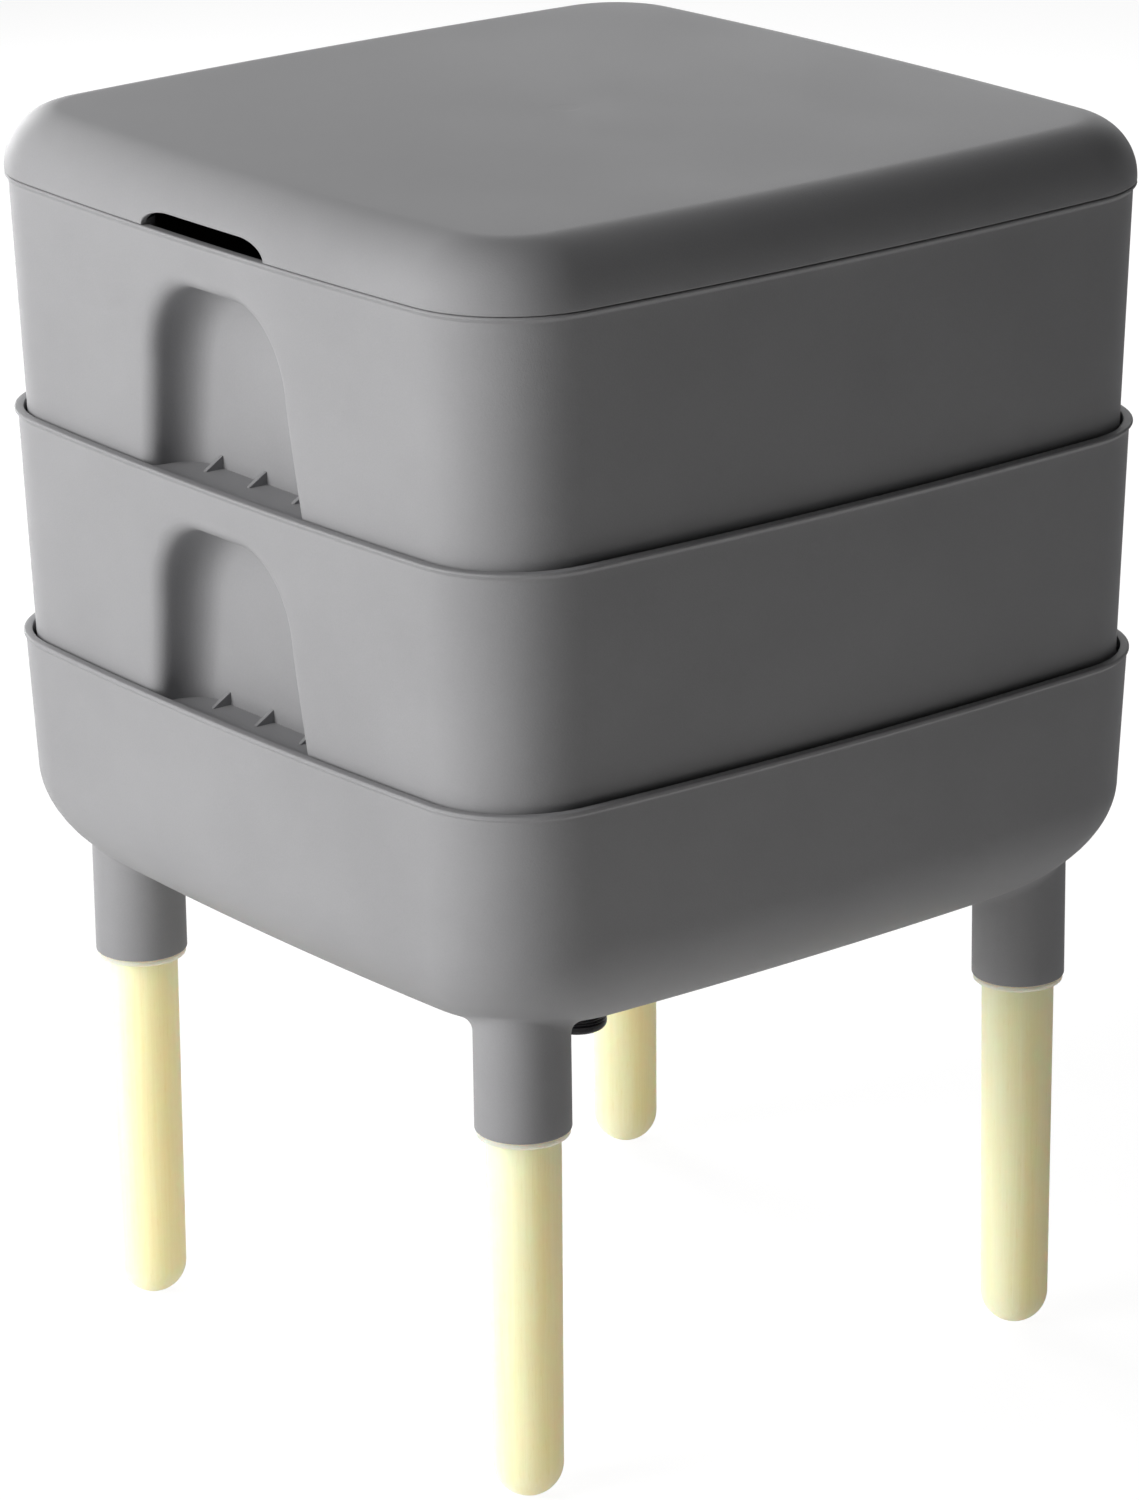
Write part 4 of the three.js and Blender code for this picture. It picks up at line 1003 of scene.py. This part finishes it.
tapCfg = {
    "gap": 0.0003, "shankRadius": 0.010, "boreRadius": 0.0065, "steps": 64,
    "flangeRadius": 0.019, "flangeThickness": 0.003, "edge": 0.0006,
    "washerRadius": 0.018, "washerThickness": 0.002, "washerEdge": 0.0005,
    "nutRadius": 0.0185, "nutThickness": 0.007, "nutSteps": 96,
    # over each face: height, furthest reach, and how much the whole outline is drawn in
    "nutEnds": [(0, 0.0166, 0.0003), (0.0005, 0.0172, 0), (0.0014, 0.0186, 0)],
    "drop": 0.056, "collarRadius": 0.0137, "collarHeight": 0.034, "collarFloor": 0.003,
    "collarRunning": 0.0004, "collarEdge": 0.003, "bandEnd": 0.0008,
    "ringCount": 16, "ringPitch": 0.0016, "ringGroove": 0.0007, "bandRows": 120,
    "sealDisc": 0.002, "endWall": 0.002,
    "portRadius": 0.0024, "portOffset": 0.0035, "portSteps": 24,
    "clipThickness": 0.0014, "clipRadius": 0.0119, "clipGroove": 0.0014, "clipDrop": 0.009,
    "sealRadius": 0.0009, "sealDrop": 0.017,
    "threadPitch": 0.0025, "threadDepth": 0.0008, "threadFade": 0.001,
    "threadFoot": 0.002, "threadHead": 0.0005, "threadRows": 90,
}
strainerCfg = {
    "skirtWall": 0.0012, "skirtDrop": 0.005, "thickness": 0.0016, "steps": 48,
    "dome": [(0.0112, 0.0), (0.0119, 0.0003), (0.012, 0.0009), (0.0117, 0.0014), (0.0110, 0.0016)],
    "holeRing": 0.0032, "holeRadius": 0.0011, "holeSteps": 16,
}


def tapPieces():
    cfg = tapCfg
    gap, steps, shank, edge, washerHigh = pick(cfg, "gap steps shankRadius edge washerThickness")
    landZ = landHeight(0.0)
    washerLow = landZ - gap - washerHigh
    nutTop = washerLow - gap
    nutLow = nutTop - cfg["nutThickness"]
    foot = landZ - cfg["drop"]
    top = foot + cfg["collarHeight"]
    innerWasher = landZ + baseCfg["landThickness"] + gap
    flange = innerWasher + washerHigh + gap
    bore = shank + cfg["collarRunning"]
    hole = shank + gap

    for name, low in (("Outer", washerLow), ("Inner", innerWasher)):
        wide, high = cfg["washerRadius"], low + washerHigh
        profile = filleted([
            (hole, low, 0), (wide, low, cfg["washerEdge"]), (wide, high, cfg["washerEdge"]),
            (hole, high, 0), (hole, low, 0)])
        makePiece("outlet" + name + "Washer", [turnedSheet(profile, steps)], blackRubber, "collector",
                  ["tap_" + name.lower() + "_washer"])

    # lock nut: a hexagon whose corners are turned off at both faces
    angle = np.arange(cfg["nutSteps"]) * 2 * pi / cfg["nutSteps"]
    hexagon = cfg["nutRadius"] * cos(pi / 6) / np.cos((angle + pi / 6) % (pi / 3) - pi / 6)
    rows = [(nutLow + up, np.minimum(hexagon, limit) - inset) for up, limit, inset in cfg["nutEnds"]]
    rows += [(nutTop + nutLow - z, radius) for z, radius in rows[::-1]]
    rows += [(nutTop, hole), (nutLow, hole), rows[0]]
    nut = np.stack([spots(radius * np.cos(angle), radius * np.sin(angle), z) for z, radius in rows])
    makePiece("outletLockNut", [sheetOf(nut, closed=True)], blackPlastic, "collector",
              ["tap_lock_nut"])

    def cupParts(profile, low, high, portY):
        # an upright turned wall whose floor has the port
        wall, faces = turnedSheet(profile, steps)
        return [(wall, faces)] + drilledFloor(
            wall[:steps], wall[-steps:], low, high, [(0.0, portY)], cfg["portRadius"], cfg["portSteps"])

    # turning collar: rings as soft grooves, a port in its floor
    radius, round_, groove, clipRadius = pick(cfg, "collarRadius collarEdge ringGroove clipRadius")
    ringsAtZ = foot + round_ + cfg["ringPitch"] * (np.arange(cfg["ringCount"]) + 1)
    bandZ = np.linspace(foot + round_, top - cfg["bandEnd"], cfg["bandRows"])
    near = np.abs(bandZ[:, None] - ringsAtZ).min(1) / groove
    band = radius - groove * np.cos(np.clip(near, 0, 1) * pi / 2) ** 2
    turn = np.linspace(0, pi / 2, 8)
    low = spots(radius - round_ * (1 - np.sin(turn)), foot + round_ * (1 - np.cos(turn)))
    clipLow = top - cfg["clipDrop"] - gap
    clipHigh = clipLow + cfg["clipThickness"] + 2 * gap
    floorZ = foot + cfg["collarFloor"]
    inside = [(radius - edge, top), (bore, top), (bore, clipHigh), (clipRadius, clipHigh),
              (clipRadius, clipLow), (bore, clipLow), (bore, floorZ)]
    profile = np.concatenate([low, spots(band, bandZ)[1:], inside])
    makePiece("tapTurningCollar", cupParts(profile, foot, floorZ, -cfg["portOffset"]), blackPlastic,
              "collar", ["tap_collar"])

    # tap body: barrel with its two grooves, threaded shank, flange and bore
    barrelEnd = floorZ + 2 * gap + cfg["sealDisc"]
    sealZ, sealHalf = top - cfg["sealDrop"], cfg["sealRadius"] + gap
    sealFloor, clipFloor = bore - 2 * cfg["sealRadius"], shank - cfg["clipGroove"]
    threadZ = np.linspace(top + cfg["threadFoot"], nutLow - cfg["threadHead"], cfg["threadRows"])
    up, down = threadZ - threadZ[0], threadZ[-1] - threadZ
    wave = np.abs((up / cfg["threadPitch"]) % 1 - 0.5) * 2
    fade = np.clip(up / cfg["threadFade"], 0, 1) * np.clip(down / cfg["threadFade"], 0, 1)
    flangeTop, wallTop = flange + cfg["flangeThickness"], barrelEnd + cfg["endWall"]
    flangeRadius, outlet = pick(cfg, "flangeRadius boreRadius")
    profile = np.concatenate([
        [(shank - edge, barrelEnd), (shank, barrelEnd + edge),
         (shank, sealZ - sealHalf), (sealFloor, sealZ - sealHalf),
         (sealFloor, sealZ + sealHalf), (shank, sealZ + sealHalf),
         (shank, clipLow), (clipFloor, clipLow), (clipFloor, clipHigh), (shank, clipHigh)],
        spots(shank - cfg["threadDepth"] * wave * fade, threadZ),
        [(shank, flange), (flangeRadius, flange), (flangeRadius, flangeTop - edge),
         (flangeRadius - edge, flangeTop), (outlet, flangeTop), (outlet, wallTop)],
    ])
    makePiece("tapBarrel", cupParts(profile, barrelEnd, wallTop, cfg["portOffset"]), blackPlastic,
              "collector", ["tap_body"], 30)

    # strainer: a domed plate with a ring of holes and a short skirt
    plate = strainerCfg
    low, skirt, count = flangeTop + gap, outlet - gap, plate["steps"]
    thin, skirtLow = skirt - plate["skirtWall"], low - plate["skirtDrop"]
    profile = [(thin, low), (thin, skirtLow), (skirt, skirtLow), (skirt, low)]
    profile += [(radius, low + z) for radius, z in plate["dome"]]
    wall, faces = turnedSheet(profile, count)
    centres = spots(*circleOf(6)) * plate["holeRing"]
    parts = [(wall, faces)] + drilledFloor(
        wall[:count], wall[-count:], low, low + plate["thickness"], centres,
        plate["holeRadius"], plate["holeSteps"])
    makePiece("outletStrainer", parts, blackPlastic, "strainer", ["drain_strainer"],
              30)


tapPieces()
for nodeName in ("retaining_clip", "sealing_ring", "seal_disc"):
    material = steel if nodeName == "retaining_clip" else blackRubber
    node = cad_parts["tap_" + nodeName]
    node.data.materials.clear()
    node.data.materials.append(material)
print("tap dressed")


matCfg = {
    "halfX": 0.174, "halfY": 0.1505, "corner": 0.030, "lowZ": 0.41605, "thickness": 0.005,
    "around": 240, "rings": 60, "waves": 0.0006, "slow": (31, 27), "quick": (83, 71),
    "steep": 10,           # how few of the columns lie on the straight sides
}


def matParts(cfg):
    # a rounded rectangle drawn in to the middle, below and above; the upper face rises in slow
    # waves that end at the rim, and the edge is a half round
    c, s = circleOf(cfg["around"])
    corner, edge = cfg["corner"], cfg["thickness"] / 2
    steep = cfg["steep"]
    x = np.clip(c * steep, -1, 1) * (cfg["halfX"] - corner) + corner * c
    y = np.clip(s * steep, -1, 1) * (cfg["halfY"] - corner) + corner * s
    size = np.hypot(x, y)
    shares = np.linspace(0, 1, cfg["rings"])[:, None]
    flatX, flatY = x * (1 - edge / size) * shares, y * (1 - edge / size) * shares
    (slowX, slowY), (quickX, quickY) = pick(cfg, "slow quick")
    waves = np.sin(flatX * slowX) * np.sin(flatY * slowY + 1)
    waves += 0.5 * np.sin(flatX * quickX + 2) * np.sin(flatY * quickY)
    sunk = cfg["waves"] * (1 - waves / 1.5) / 2 * (1 - shares ** 6)
    turn = np.linspace(0, pi, 9)[1:-1, None]
    out = 1 - edge / size + edge * np.sin(turn) / size
    rim = spots(x * out, y * out, cfg["lowZ"] + edge - edge * np.cos(turn))
    high = spots(flatX, flatY, cfg["lowZ"] + cfg["thickness"] - sunk)
    return [sheetOf(np.concatenate([spots(flatX, flatY, cfg["lowZ"]), rim, high[::-1]]), closed=True)]


mat = makePiece("moistureMat", matParts(matCfg), jute, "mat", ["moisture_mat"])


stageCfg = {
    "floorHalf": 14.0,
    # the floor as a pale floor in a lit room with a painted glow that lights the object from below, and
    # to the camera near white with the shadow
    "floorShade": 0.8, "floorGlow": 0.162,
    "cameraShade": 0.14, "cameraGlow": 0.93,
    "worldLight": 0.012,
}
lampCfg = {
    # each lamp's turn in degrees from the front towards the left, its rise in degrees over the
    # point aimed at, its distance from there, its size, power and colour
    "aim": (0, 0, 0.33),
    "lamps": {
        "low": (15, 10, 2.6, 1.5, 55, (1.0, 0.995, 0.985)),
        "high": (5, 35, 2.6, 1.5, 25, (1.0, 0.995, 0.985)),
        "left": (95, 12, 2.6, 1.5, 63, (1.0, 1.0, 1.0)),
        "back": (140, 20, 2.6, 1.5, 11, (1.0, 1.0, 1.0)),
        "right": (-75, -19, 0.8, 0.1, 0.16, (1.0, 0.93, 0.82)),
    },
}


def clearedTree(owner):
    owner.use_nodes = True
    owner.node_tree.nodes.clear()
    return owner.node_tree


def makeFloor(cfg):
    half = cfg["floorHalf"]
    mesh = bpy.data.meshes.new("floor")
    corners = [(-half, -half, 0), (half, -half, 0), (half, half, 0), (-half, half, 0)]
    mesh.from_pydata(corners, [], [(0, 1, 2, 3)])
    floor = addObject("floor", mesh)
    material = bpy.data.materials.new("paleFloor")
    tree = clearedTree(material)
    made = []
    # each kind is a diffuse shade plus a glow; the floor kind's glow is painted light that brightens
    # the object from below
    for kind in ("floor", "camera"):
        shaded = addNode(tree, "BsdfDiffuse", {"Color": (*[cfg[kind + "Shade"]] * 3, 1)}).outputs[0]
        glow = addNode(tree, "Emission", {"Strength": cfg[kind + "Glow"]}).outputs[0]
        made.append(addNode(tree, "AddShader", {0: shaded, 1: glow}).outputs[0])
    isCamera = addNode(tree, "LightPath", {}).outputs["Is Camera Ray"]
    mix = addNode(tree, "MixShader", {0: isCamera, 1: made[0], 2: made[1]})
    addNode(tree, "OutputMaterial", {"Surface": mix.outputs[0]})
    mesh.materials.append(material)


def makeWorld(cfg):
    # a dim room, which camera, glossy and transmission rays see as white
    world = bpy.data.worlds.new("paleRoom")
    bpy.context.scene.world = world
    tree = clearedTree(world)
    dim, white = (
        addNode(tree, "Background", {"Color": (1, 1, 1, 1), "Strength": strength}).outputs[0]
        for strength in (cfg["worldLight"], 1.0))
    path = addNode(tree, "LightPath", {}).outputs
    seesWhite = path["Is Camera Ray"]
    for kind in ("Is Glossy Ray", "Is Transmission Ray"):
        seesWhite = addNode(tree, "Math", {0: seesWhite, 1: path[kind]}, operation="MAXIMUM").outputs[0]
    mix = addNode(tree, "MixShader", {0: seesWhite, 1: dim, 2: white})
    addNode(tree, "OutputWorld", {"Surface": mix.outputs[0]})


def makeLamp(name, aim, turn, rise, distance, size, power, colour):
    turn, rise = radians(turn), radians(rise)
    away = Vector((-sin(turn) * cos(rise), -cos(turn) * cos(rise), sin(rise)))
    data = bpy.data.lights.new(name, "AREA")
    data.shape = "DISK"
    data.size, data.energy, data.color = size, power, colour
    turned = away.to_track_quat("Z", "Y").to_matrix().to_4x4()
    addObject(name, data).matrix_world = Matrix.Translation(Vector(aim) + away * distance) @ turned


makeFloor(stageCfg)
makeWorld(stageCfg)
for lampName, settings in lampCfg["lamps"].items():
    makeLamp(lampName, lampCfg["aim"], *settings)
bpy.context.scene.view_settings.view_transform = "Standard"
print("floor and lights made")
